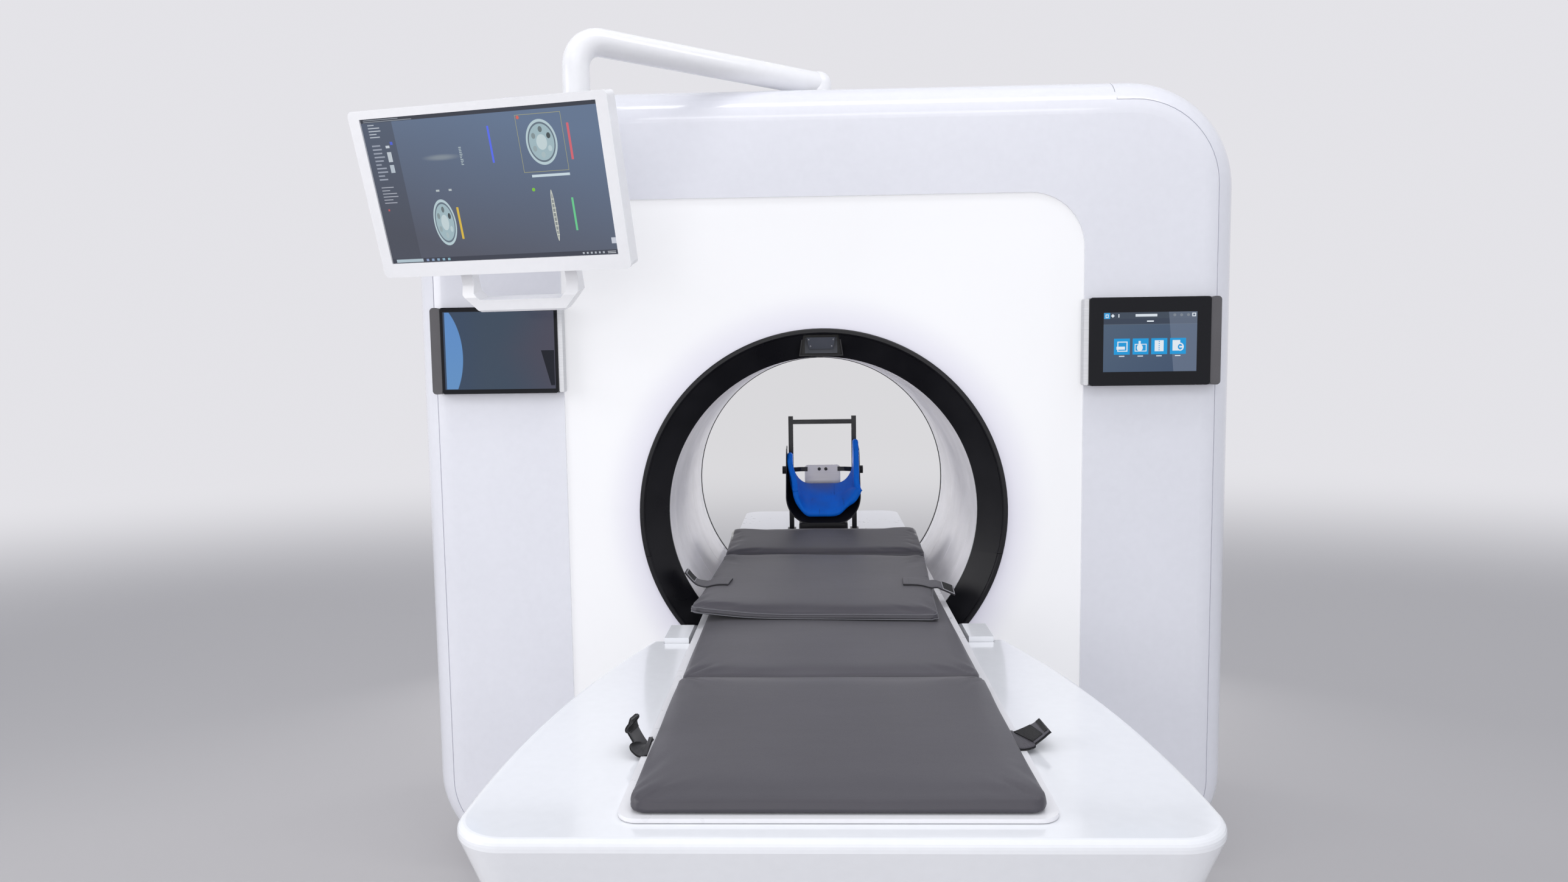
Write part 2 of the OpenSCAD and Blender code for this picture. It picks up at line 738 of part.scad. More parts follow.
module panel_glass(left) color([0.05, 0.05, 0.06]) {
  panel_side(left) difference() {
    xz(glass_y, glass_y + glass_t) rrect(px0, pz0, px1 - 0.5, pz1, 8);
    box([picture_x - picture_w/2, glass_y + 1.5, picture_z - picture_h/2],
      [picture_x + picture_w/2, glass_y + glass_t + 1, picture_z + picture_h/2]);
  }
}

module panel_screen(left) color([0.30, 0.36, 0.48]) {
  panel_side(left) box([picture_x - picture_w/2, glass_y + 1.5, picture_z - picture_h/2],
    [picture_x + picture_w/2, glass_y + 10, picture_z + picture_h/2]);
}

module panel_trim(left) color([0.78, 0.78, 0.80]) {
  panel_side(left) xz(glass_y + 3, front) rrect(px0 - trim_w, pz0 + 2, px0, pz1 - 2, 4, $fn = 32);
}

// post of the monitor arm: spigot, flange on the lid, bolt through the shelf
module arm_post() color(c_steel) {
  translate([post_x, post_y, 0]) {
    translate([0, 0, shelf_z + 50]) cylinder(r = 39.5, h = 74);
    translate([0, 0, gt]) cylinder(r = 52, h = 5);
    translate([0, 0, gt + 4]) cylinder(r = 17.9, h = arm_rise + 16);
    translate([0, 0, shelf_z - 5]) cylinder(r = 11.9, h = 56, $fn = 48);
    translate([0, 0, shelf_z - 10]) cylinder(r = 20, h = 10, $fn = 6);
  }
}

// quarter bend between the arm's run and its leg
module arm_bend(r) {
  translate([arm_len - bend_r, 0, arm_z - bend_r]) rotate([90, 0, 0])
    rotate_extrude(angle = 90, $fn = 96) translate([bend_r, 0]) circle(r);
}

// arm: horizontal run, bend and leg, with the wire way bored through all three
module arm_tube() color(c_shell) {
  collar = tube_r + 3; way = tube_r - tube_wall; low = leg_low;
  translate([post_x, post_y, 0]) rotate([0, 0, arm_dir]) difference() {
    union() {
      translate([0, 0, arm_z]) rotate([0, 90, 0]) cylinder(r = tube_r, h = arm_len - bend_r);
      arm_bend(tube_r);
      translate([arm_len, 0, low]) cylinder(r = tube_r, h = arm_z - bend_r - low);
      translate([arm_len, 0, low + 8]) cylinder(r = tube_r + 6, h = 16.7);
      translate([0, 0, gt + 5.3]) cylinder(r = collar, h = arm_rise - 5.3);
      translate([0, 0, arm_z]) intersection() {
        sphere(collar, $fn = 96);
        box([-40, -40, -20], [20, 40, 40]);
      }
    }
    translate([40, 0, arm_z]) rotate([0, 90, 0]) cylinder(r = way, h = arm_len - bend_r - 40);
    arm_bend(way);
    translate([arm_len, 0, low + 4]) cylinder(r = way, h = arm_z - bend_r - low - 4);
    translate([0, 0, gt]) cylinder(r = 17.95, h = arm_rise + 20.5);
  }
}

// link: hub round the leg, bar to a knee behind the tilt barrel, so that the yoke's lugs clear it
module arm_link() color(c_shell) {
  translate([leg[0], leg[1], 0]) rotate([0, 0, link_dir]) {
    difference() {
      union() {
        translate([0, 0, hub_z]) cylinder(r = tube_r + 9, h = 62);
        translate([0, 0, pivot_z]) rotate([0, 0, atan2(knee_at[1], knee_at[0])])
          rod_x(tube_r, norm(knee_at), 0, 0, link_r, 64);
      }
      translate([0, 0, hub_z - 15]) cylinder(r = tube_r + 0.05, h = 90);
    }
    translate([link_len, 0, pivot_z]) rotate([0, 0, screen_yaw - link_dir]) difference() {
      union() {
        rod_x(-19.7, 19.7, 0, 0, barrel_r, 96);
        rotate([-90, 0, 0]) cylinder(r = link_r - 2, h = knee);
        translate([0, knee, 0]) sphere(link_r, $fn = 64);
      }
      rod_x(-30, 30, 0, 0, pin_r + 0.05, 64);
    }
  }
}

// the monitor's own frame: x along the picture, y to the back, z up it, from the screen's middle
module on_monitor() { translate(screen_c) rotate([0, 0, screen_yaw]) rotate([screen_lean, 0, 0]) children(); }

back_y = case_d - 4;
hump_y = back_y + hump_d;
case_x = screen_w/2 + bezel_side;
case_z0 = -screen_h/2 - bezel_low;
case_z1 = screen_h/2 + bezel_top;

// tilt yoke: plate screwed to the back field, two lugs and the tilt pin
module monitor_yoke() color(c_steel) {
  on_monitor() {
    difference() {
      xz(hump_y, hump_y + 6) rrect(-70, -70, 70, 70, 12);
      for (x = [-50, 50], z = [-50, 50]) rod_y(x, hump_y - 1, hump_y + 9, z, 2.6, 24);
    }
    for (s = [-1, 1]) difference() {
      yz(s*26 - 6, s*26 + 6) {
        translate([yoke_y, 0]) circle(barrel_r, $fn = 96);
        polygon([[hump_y + 5, -40], [yoke_y, -barrel_r], [yoke_y, barrel_r], [hump_y + 5, 40]]);
      }
      rod_x(s*26 - 10, s*26 + 10, yoke_y, 0, pin_r - 0.1, 64);
    }
    rod_x(-36, 36, yoke_y, 0, pin_r, 64);
  }
}

module monitor_back() color(c_shell) {
  on_monitor() difference() {
    union() {
      xz(6, back_y) rrect(1.5 - case_x, case_z0 + 2, case_x - 1.5, case_z1 - 1, 10);
      xz(back_y - 2, hump_y) rrect(-170, -110, 170, 110, 30);
    }
    xz(4, back_y - 4) rrect(6.5 - case_x, case_z0 + 7, case_x - 6.5, case_z1 - 6, 7);
    for (i = [0 : 9]) box([-140 + i*30, hump_y - 1, 80], [-125 + i*30, hump_y + 10, 100]);
  }
}

module monitor_bezel() color(c_shell) {
  on_monitor() difference() {
    xz(-4, 6) rrect(-case_x, case_z0, case_x, case_z1, 11);
    box([-screen_w/2, -10, -screen_h/2], [screen_w/2, 10, screen_h/2]);
  }
}

module monitor_screen() color([0.18, 0.22, 0.30]) {
  on_monitor() box([-screen_w/2, 0, -screen_h/2], [screen_w/2, 12, screen_h/2]);
}

// grip: a thick U with chamfered corners and a sloped front, screwed to the back field
module monitor_handle() color(c_shell) {
  w = handle_w/2; t = handle_t; z0 = -handle_low; y0 = hump_y; y1 = hump_y + 26;
  on_monitor() intersection() {
    xz(y0 - 20, y1 + 5) difference() {
      polygon([[-w, -100], [-w, z0 + 40], [-w + 38, z0], [w - 38, z0], [w, z0 + 40], [w, -100]]);
      polygon([[t - w, -90], [t - w, z0 + t + 14], [t - w + 14, z0 + t], [w - t - 14, z0 + t],
        [w - t, z0 + t + 14], [w - t, -90]]);
    }
    yz(-w - 1, w + 1) polygon([[y0, -99], [y0, z0 + 62], [y0 - 12, z0 + 34], [y0 - 12, z0 + 5],
      [y0 - 6, z0 - 1], [y1 - 6, z0 - 1], [y1, z0 + 6], [y1, -99]]);
  }
}

// edge sections of the table, drawn in (radius, z) at a curve of radius R
module lid_edge(R) {
  polygon([[0, rim_z], [R, rim_z],
    for (a = [0 : 18 : 90]) [R - tenth(rim_r*(1 - cos(a))), lid_z - tenth(rim_r*(1 - sin(a)))], [0, lid_z]]);
}

module body_edge(R, i) {
  polygon([[0, body_z + i], [R - body_in - i, body_z + i], [R - i, rim_z + (i > 0 ? 1 : 0)],
    [0, rim_z + (i > 0 ? 1 : 0)]]);
}

// table plan: two long side curves, a straight front with round corners, an edge section
// carried round all of it. i < 0 draws the rim, i >= 0 the body inset by i.
module plan_edge(R, i) { if (i < 0) lid_edge(R); else body_edge(R, i); }

module plan_solid(i) {
  cx = table_w - side_r; fx = table_w - front_r;
  at_bed() intersection() {
    translate([-cx, curve_y, 0]) rotate_extrude($fn = 720) plan_edge(side_r, i);
    translate([cx, curve_y, 0]) rotate_extrude($fn = 720) plan_edge(side_r, i);
    union() {
      both() {
        translate([fx, table_y0 + front_r, 0]) rotate([0, 0, -90]) rotate_extrude(angle = 90)
          plan_edge(front_r, i);
        translate([fx, table_y1, 0]) rotate([90, 0, 0]) linear_extrude(table_len - front_r)
          plan_edge(front_r, i);
      }
      translate([-fx, table_y0 + front_r, 0]) mirror([0, 1, 0]) rotate([90, 0, 90])
        linear_extrude(2*fx) plan_edge(front_r, i);
      xy(i < 0 ? rim_z : body_z + i, i < 0 ? lid_z : rim_z + (i > 0 ? 1 : 0))
        translate([-fx, table_y0 + front_r]) square([2*fx, table_len - front_r]);
    }
  }
}

module plan(i, y0, y1, r) {
  at_bed2() intersection() {
    translate([side_r - table_w, curve_y]) circle(side_r - i, $fn = 720);
    translate([table_w - side_r, curve_y]) circle(side_r - i, $fn = 720);
    rrect(i - table_w, y0, table_w - i, y1, r);
  }
}

module at_bed2() { translate([bed_x, 0]) children(); }

module pedestal(i, z0, z1) {
  xy(z0, z1) plan(foot_in + i, table_y0 + foot_in - 10 + i, table_y1 - 30 - i, 60 - i);
}

// cover of the table: rounded rim, channel for the bed's carriage, ribs underneath
module table_lid() color(c_shell) {
  skin = 6;
  difference() {
    plan_solid(-1);
    at_bed() {
      box([-bridge_w - 2, table_y1 - 17, rim_z - 9], [bridge_w + 2, table_y1 + 20, lid_z + 9]);
      box([-channel_w, table_y0 + 65, rim_z - 9], [channel_w, table_y1 + 20, lid_z + 9]);
    }
    difference() {
      xy(rim_z - 9, lid_z - skin) plan(14, table_y0 + 45, table_y1 - 20, 20);
      at_bed() both() box([channel_w, table_y0, rim_z - 10], [bed_w + 12, table_y1, lid_z]);
    }
  }
}

// body of the table: sloped pan under the rim and a pedestal down to the floor plate
module table_body() color(c_shell) {
  difference() {
    union() { plan_solid(0); pedestal(0, 22, body_z + 2); }
    plan_solid(body_t);
    pedestal(body_t, 10, body_z + body_t + 5);
    at_bed() box([-bridge_w, table_y1 - 15, 10], [bridge_w, table_y1 + 20, lid_z + 90]);
  }
}

// frame inside the table: floor plate, four posts, cross bars, two rails under the cover
module table_frame() color(c_paint) {
  px = bed_w - 81; y0 = table_y0 + 205; y1 = table_y1 - 80;
  difference() {
    union() {
      pedestal(2, 0, 22);
      at_bed() {
        box([-lift_w/2 - 90, lift_y - 270, 22], [lift_w/2 + 90, lift_y + 250, 40]);
        both() {
          for (y = [y0, y1]) box([px - 18, y - 18, 22], [px + 18, y + 18, deck_z + 40]);
          box([px - 18, y0 - 18, deck_z + 4], [px + 18, y1 + 18, deck_z + 40]);
          for (y = [y0, (y0 + y1)/2, y1])
            box([px - 12, y - 18, deck_z + 4], [bed_w + 7, y + 18, deck_z + 40]);
          box([bed_w - 33, table_y0 + 125, deck_z + 40], [bed_w + 7, table_y1 - 30, rim_z]);
        }
      }
    }
    at_bed() both() for (y = [y0, y1 - 20]) translate([140, y, -1]) cylinder(r = 9, h = 60, $fn = 48);
  }
}

// bridge from the table to the gantry, with the trough in which the bed plate runs
module bridge_cover() color(c_shell) {
  y0 = table_y1 - 15; foot = 150; top = bed_top + 5;
  at_bed() difference() {
    yz(-bridge_w, bridge_w) polygon([[y0, foot], [front, foot], [front, foot + 135], [front - 14, foot + 142],
      [front - 14, top - 67], [table_y1 + 88, top], [y0, top]]);
    yz(-bridge_w + 6, bridge_w - 6) polygon([[y0 - 5, foot - 10], [front - 6, foot - 10],
      [front - 6, foot + 132], [front - 20, foot + 140], [front - 20, deck_z - 40], [y0 - 5, deck_z - 40]]);
    box([-bed_w - 6, y0 - 25, bed_z - keel_h - 9], [bed_w + 6, front + 10, top + 23]);
    both() box([bed_w + 12, y0 + 6, deck_z - 60], [bridge_w - 6, table_y1 + 80, top - 6]);
  }
}

module lift_outer_tube() color(c_paint) {
  h = lift_w/2; g = h - lift_t + glide_gap;
  at_bed() difference() {
    xy(40, deck_z - 60) rrect(-h, lift_y - h, h, lift_y + h, 14);
    xy(50, deck_z - 40) translate([-g, lift_y - g]) square([2*g, 2*g]);
  }
}

module lift_inner_tube() color(c_steel) {
  h = lift_w/2 - lift_t; g = h - 12;
  at_bed() difference() {
    xy(deck_z - 400, deck_z) translate([-h, lift_y - h]) square([2*h, 2*h]);
    xy(deck_z - 410, deck_z - 10) translate([-g, lift_y - g]) square([2*g, 2*g]);
  }
}

// carriage: deck on the lift, posts to two beams, glide strips under the bed plate
module bed_carriage() color([0.68, 0.69, 0.71]) {
  y0 = table_y0 + 105; y1 = table_y1 - 30; x0 = beam_w - 44;
  at_bed() {
    difference() {
      box([-x0, y0, deck_z], [x0, y1, deck_z + 12]);
      for (y = [y0 + 100, y1 - 180]) box([-110, y, deck_z - 10], [110, y + 130, deck_z + 20]);
    }
    both() {
      box([x0, y0, bed_z - 65], [beam_w, y1, bed_z - 6]);
      for (y = [y0, y0 + 250, y1 - 250, y1 - 10]) box([x0 - 17, y, deck_z], [x0 + 1, y + 10, bed_z - 46]);
      box([x0 + 8, y0, bed_z - 7], [x0 + 36, y1, bed_z - glide_gap]);
    }
  }
}

// bed plate: a thin composite board with round corners, larger at the head end
module bed_board() color([0.86, 0.85, 0.87]) {
  at_bed() xy(bed_z, bed_top) {
    translate([-bed_w, bed_y0 + 30]) square([2*bed_w, bed_len - 30 - bed_r]);
    translate([bed_r - bed_w, bed_y1 - bed_r - 1]) square([2*(bed_w - bed_r), bed_r + 1]);
    translate([30 - bed_w, bed_y0]) square([2*bed_w - 60, 31]);
    for (s = [-1, 1]) {
      translate([s*(bed_w - bed_r), bed_y1 - bed_r]) circle(bed_r);
      translate([s*(bed_w - 30), bed_y0 + 30]) circle(30);
    }
  }
}

// hollow keel bonded under the plate's free part, with a ramp at the foot end
module bed_keel() color([0.86, 0.85, 0.87]) {
  y0 = table_y1 + 50; y1 = bed_y1 - 40; z0 = bed_z - keel_h; w = keel_w;
  at_bed() {
    difference() {
      xz(y0, y1) polygon([[-w, bed_z], [-w, z0 + 20], [22 - w, z0], [w - 22, z0], [w, z0 + 20], [w, bed_z]]);
      yz(-w - 5, w + 5) polygon([[y0 - 1, z0 - 1], [y0 + 30, z0 - 1], [y0 - 1, z0 + 26]]);
      xz(y0 + 10, y1 - 6) polygon([[5 - w, bed_z + 1], [5 - w, z0 + 23], [24 - w, z0 + 5], [w - 24, z0 + 5],
        [w - 5, z0 + 23], [w - 5, bed_z + 1]]);
    }
  }
}

// covered foam pad: flat underside at z0, top from za in front to zb behind, edges rounded r
// and plan corners rounded rc
module pad(w, y0, y1, z0, za, zb, r, rc) {
  intersection() {
    yz(-w, w) {
      polygon([[y0, z0 + r], [y0 + r, z0], [y1 - r, z0], [y1, z0 + r],
        [y1, zb - r], [y1 - r, zb], [y0 + r, za], [y0, za - r]]);
      translate([y0 + r, z0 + r]) circle(r, $fn = 48);
      translate([y1 - r, z0 + r]) circle(r, $fn = 48);
      translate([y0 + r, za - r]) circle(r, $fn = 48);
      translate([y1 - r, zb - r]) circle(r, $fn = 48);
    }
    xz(y0 - 1, y1 + 1) rrect(-w, z0, w, max(za, zb) + 0.01, r, $fn = 48);
    xy(z0 - 1, max(za, zb) + 2) rrect(-w, y0, w, y1, rc, $fn = 64);
  }
}

module foot_pad() color(c_pad) {
  at_bed() pad(foot_w, foot_y0, foot_y1, bed_top, bed_top + foot_pad_t, bed_top + foot_pad_t, 9, 22);
}

module mid_pad() color(c_pad) {
  at_bed() pad(mid_w, mid_y0, mid_y1, bed_top, mid_top, mid_top, 8, 18);
}

// the overlay's own frame: from the middle of its front edge, laid a little askew
module on_overlay() { translate([overlay_x, overlay_y0, overlay_z]) rotate([0, 0, overlay_turn]) children(); }

module overlay_pad() color(c_pad) {
  difference() {
    on_overlay() pad(head_w, 0, overlay_full, 0, overlay_t, overlay_t + overlay_rise, 9, 20);
    box([-gw, head_y0 - 0.5, bed_z], [gw, head_y0 + 100, bed_z + 200]);
  }
}

module head_pad() color(c_pad) {
  z1 = bed_top + head_pad_t;
  at_bed() pad(head_w, head_y0, head_y1, bed_top, z1, z1 + head_pad_rise, 10, 20);
}

// band of webbing, drawn edge-on in (x, z)
module strap(w, pts) { xz(-w/2, w/2) polygon(pts); }

// a place on the overlay's sloping top, y behind its front edge
module on_overlay_top(y) {
  on_overlay() translate([0, y, overlay_t + rise_1*(y - 9)]) rotate([atan(rise_1), 0, 0]) children();
}

module strap_upper_left() color(c_black) {
  e = head_w;
  on_overlay_top(232) strap(strap_w, [[77 - e, 0.3], [77 - e, 2.8], [16 - e, 3.2], [-10 - e, 9],
    [-36 - e, 21], [-60 - e, 36], [-62 - e, 33], [-38 - e, 17.5], [-12 - e, 6], [14 - e, 0.3]]);
}

module strap_upper_right() color(c_black) {
  e = head_w;
  on_overlay_top(232) strap(strap_w, [[e - 77, 0.3], [e - 77, 2.8], [e - 10, 3.2], [e + 12, 1.5],
    [e + 34, -8.2], [e + 55, -20.5], [e + 53, -23.5], [e + 32, -11.2], [e + 11, -1.7], [e + 3, 0.3]]);
}

module at_foot(y) { translate([bed_x, foot_y0 + y, bed_top + 0.3]) children(); }

module strap_lower_left() color(c_black) {
  e = foot_w;
  at_foot(262) strap(strap_w + 3, [[-e - 0.5, 0], [-e - 7, 0], [-e - 15, 10], [-e - 23, 40], [-e - 29, 70],
    [-e - 26, 71], [-e - 20, 41], [-e - 12, 12], [-e - 5.5, 2.6], [-e - 0.5, 2.6]]);
}

module strap_lower_right() color(c_black) {
  e = foot_w;
  at_foot(262) strap(strap_w + 3, [[e + 0.5, 0], [e + 7, 0], [e + 16, 9], [e + 30, 30], [e + 48, 52],
    [e + 46, 54.5], [e + 27, 32], [e + 14, 11.5], [e + 5.5, 2.6], [e + 0.5, 2.6]]);
}

// base plate on the bed, two side cheeks that hold the posts, clamp screws at the cheeks' feet
module headrest_base() color(c_black) {
  z0 = bed_top; t = post_t/2;
  at_bed() difference() {
    union() {
      xy(z0, z0 + base_t) rrect(-post_half - 22, base_y0, post_half + 22, base_y0 + base_len, 14);
      both() {
        yz(post_half - t - 5.5, post_half + t + 5.5) polygon([[base_y0 + 8, z0 + base_t - 1],
          [post_cy + 26, z0 + base_t - 1], [post_cy + 18, z0 + 58], [post_cy - 18, z0 + 58],
          [base_y0 + 14, z0 + base_t + 16]]);
        rod_y(post_half - 2, base_y0 - 12, base_y0 + 12, z0 + base_t + 7, 8, 32);
      }
    }
    both() {
      box([post_half - t, post_cy - t, z0 + base_t - 1], [post_half + t, post_cy + t, z0 + 70]);
      for (y = [base_y0 + 22, base_y0 + base_len - 22])
        translate([70, y, z0 - 12]) cylinder(r = 5, h = 40, $fn = 32);
    }
  }
}

// frame: two posts and a crossbar, with bent tabs forward of the posts for the metal plate
module headrest_frame() color(c_black) {
  t = post_t/2; z0 = bed_top + base_t - 1;
  at_bed() difference() {
    union() {
      both() {
        box([post_half - t, post_cy - t, z0], [post_half + t, post_cy + t, post_top]);
        yz(post_half - t, post_half + t) translate([post_cy, post_top - t]) circle(t, $fn = 48);
        xy(knob_z - 7, knob_z + 7) polygon([[post_half - t, post_cy], [post_half + t, post_cy],
          [post_half + t, post_cy + t], [70, post_cy + 22], [48, post_cy + 22], [48, post_cy + 19],
          [69, post_cy + 19], [post_half - t, post_cy + t]]);
        rod_x(post_half + t - 0.5, post_half + t + ear_gap - 0.3, knob_y, knob_z, 9);
        rod_x(post_half, cradle_w + stud_len, knob_y, knob_z, 3.95, 32);
      }
      box([t - post_half - 1, post_cy - t + 1, post_top - 25],
        [post_half - t + 1, post_cy + t - 1, post_top - 11]);
    }
    both() rod_x(post_half - t - 1, post_half - t + 3, knob_y, knob_z, 4, 6);
  }
}

// bent metal plate between the tabs, with two holes for the chin strap's screws
module headrest_plate() color([0.58, 0.57, 0.58]) {
  y0 = post_cy + 22; z1 = knob_z + 13;
  at_bed() difference() {
    union() {
      xz(y0, y0 + 3) polygon([[-57, z1 - 70], [57, z1 - 70], [57, z1 - 6], [50, z1], [-50, z1],
        [-57, z1 - 6]]);
      yz(-57, 57) polygon([[y0, z1 - 70], [y0 + 3, z1 - 70], [y0 - 7, z1 - 98], [y0 - 10, z1 - 97]]);
    }
    for (s = [-1, 1]) rod_y(s*10.5, y0 - 32, y0 + 28, knob_z, 5.5);
  }
}

// U-shaped section of half width w with lower edges rounded r, its lowest line at z = z0
module u_shape(w, r, z0) {
  translate([-w, z0 + r]) square([2*w, 330 - r]);
  translate([r - w, z0]) square([2*(w - r), r]);
  for (s = [-1, 1]) translate([s*(w - r), z0 + r]) circle(r);
}

// the cradle's own frame: y up the sloping trough, z away from its bed
module on_cradle() { translate([0, trough_y, trough_z]) rotate([cradle_lean, 0, 0]) children(); }

module trough(w, r, t, z0) {
  on_cradle() xz(-120, 400) difference() { u_shape(w, r, z0); u_shape(w - t, r - t, z0 + t); }
}

// shell of the cradle: sloping trough cut to high wings, flat ears down to the tilt axis
module head_cradle() color(c_black) {
  w = cradle_w; y = trough_y; z = trough_z;
  at_bed() difference() {
    union() {
      intersection() {
        trough(w, cradle_r, shell_t, -foam_t - shell_t - 0.3);
        yz(-w - 5, w + 5) polygon([[y + 5, z - 60], [y + 1, z + 60], [y + 72, z + 182], [y + 94, z + 200],
          [y + 150, z + 206], [y + 150, z - 60]]);
      }
      both() yz(w - shell_t, w) polygon([[y + 94, z + 176], [y + 118, z + 142], [y + 146, z + 114],
        [y + 170, z + 110], [y + 180, z + 124], [y + 178, z + 144], [y + 150, z + 188], [y + 102, z + 196]]);
    }
    both() rod_x(w - 12, w + 8, knob_y, knob_z, 4.3, 32);
  }
}

// foam lining of the cradle, its right wing higher than the left
module cradle_cushion() color(c_foam) {
  w = cradle_w - shell_t - 0.3; y = trough_y; z = trough_z;
  at_bed() intersection() {
    trough(w, cradle_r - shell_t, foam_t, -foam_t);
    union() {
      yz(-w - 5, 5) polygon([[y - 2, z - 50], [y - 2, z + 50], [y + 62, z + 170], [y + 82, z + 187],
        [y + 128, z + 187], [y + 147, z + 136], [y + 147, z - 50]]);
      yz(4, w + 5) polygon([[y - 2, z - 50], [y - 2, z + 70], [y + 58, z + 206], [y + 78, z + 229],
        [y + 112, z + 229], [y + 147, z + 136], [y + 147, z - 50]]);
    }
  }
}

// clamping knob with eight grips and a blind thread for the post's stud
module knob(s) color(c_black) {
  translate([bed_x + s*(cradle_w + 0.3), knob_y, knob_z]) rotate([0, s*90, 0]) difference() {
    cylinder(r = knob_r, h = 14, $fn = 64);
    translate([0, 0, -1]) cylinder(r = 4.1, h = stud_len + 1, $fn = 32);
    for (a = [0 : 45 : 315]) rotate([0, 0, a]) translate([knob_r + 1.5, 0, -1])
      cylinder(r = 3, h = 20, $fn = 24);
  }
}

gantry_frame();
front_panel();
wrap_shell();
rear_cover();
top_lid();
light_diffuser();
bore_ring_upper();
bore_ring_lower();
sensor_module();
bore_liner();
rear_bore_ring();
bearing_outer_race();
bearing_inner_race();
rotor_plate();
xray_source();
flat_detector();
hv_generator();
slip_ring();
brush_block();
drive_stator();
panel_housing(false);  // panel_housing_right
panel_glass(false);  // panel_glass_right
panel_screen(false);  // panel_screen_right
panel_trim(false);  // panel_trim_right
panel_housing(true);  // panel_housing_left
panel_glass(true);  // panel_glass_left
panel_screen(true);  // panel_screen_left
panel_trim(true);  // panel_trim_left
arm_post();
arm_tube();
arm_link();
monitor_yoke();
monitor_back();
monitor_bezel();
monitor_screen();
monitor_handle();
table_frame();
table_body();
table_lid();
bridge_cover();
lift_outer_tube();
lift_inner_tube();
bed_carriage();
bed_board();
bed_keel();
foot_pad();
mid_pad();
overlay_pad();
head_pad();
strap_upper_left();
strap_upper_right();
strap_lower_left();
strap_lower_right();
headrest_base();
headrest_frame();
headrest_plate();
head_cradle();
cradle_cushion();
knob(-1);  // cradle_knob_left
knob(1);  // cradle_knob_right
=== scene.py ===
"""Looks of a cone-beam CT scanner: lit ring gantry, patient bed with pads and straps,
head cradle, two touch panels and a monitor on a swivelling arm.
Metres, +Z up; the origin is on the floor straight below the middle of the bore."""
from math import cos, pi, radians, sin

import bpy
import numpy as np
from numpy import arange, array, clip, concatenate as join, exp, full, linspace, stack
from mathutils import Matrix, Vector
from mathutils.bvhtree import BVHTree


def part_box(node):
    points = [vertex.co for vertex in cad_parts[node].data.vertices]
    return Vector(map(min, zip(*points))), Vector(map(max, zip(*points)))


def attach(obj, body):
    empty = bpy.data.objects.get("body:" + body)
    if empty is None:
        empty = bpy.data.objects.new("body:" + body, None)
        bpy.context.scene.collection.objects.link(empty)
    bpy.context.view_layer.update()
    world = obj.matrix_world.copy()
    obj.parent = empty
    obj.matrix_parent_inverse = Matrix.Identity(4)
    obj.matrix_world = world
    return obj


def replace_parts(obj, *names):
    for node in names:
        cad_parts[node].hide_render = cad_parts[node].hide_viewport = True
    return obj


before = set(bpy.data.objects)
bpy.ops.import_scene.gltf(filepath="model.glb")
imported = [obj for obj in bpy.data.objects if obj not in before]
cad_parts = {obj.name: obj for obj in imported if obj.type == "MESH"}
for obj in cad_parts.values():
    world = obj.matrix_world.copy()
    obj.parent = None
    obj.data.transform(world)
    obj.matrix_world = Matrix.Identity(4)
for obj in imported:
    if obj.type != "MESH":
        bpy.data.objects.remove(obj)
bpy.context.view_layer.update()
AXIS_Z = 0.93  # height of the bore's axis
SCREWS = ((0.03, 1.3564), (0.026, 1.3404))  # x to either side, and height, of the sensor plate's screws
PANEL_X, PANEL_FRONT, PANEL_LOW = 0.78175, -0.42, 1.236  # touch panels' middle, face and lower edge
PANEL_W, PANEL_H = 0.2875, 0.21
RIBBON_STEPS = 64


# camera

def place_camera():
    """The photograph's view: 22.6 mm lens on a 36 mm sensor, turned 1.8 degrees left,
    4.75 degrees down and rolled 0.79 degrees."""
    focal_px, width_px, sensor_mm = 1614.4, 2576.0, 36.0
    yaw, pitch, roll = radians(1.8), radians(4.75), radians(-0.79)
    ahead = Vector((-sin(yaw) * cos(pitch), cos(yaw) * cos(pitch), -sin(pitch)))
    right = Vector((cos(yaw), sin(yaw), 0.0))
    up = right.cross(ahead)
    side, top = right * cos(roll) + up * sin(roll), up * cos(roll) - right * sin(roll)
    data = bpy.data.cameras.new("view")
    data.sensor_width, data.lens = sensor_mm, sensor_mm * focal_px / width_px
    data.clip_start, data.clip_end = 0.05, 60.0
    cam = bpy.data.objects.new("view", data)
    turned = Matrix((side, top, -ahead)).transposed().to_4x4()
    cam.matrix_world = Matrix.Translation((-0.018, -2.795, 1.31)) @ turned
    bpy.context.scene.collection.objects.link(cam)
    bpy.context.scene.camera = cam


# shader maths

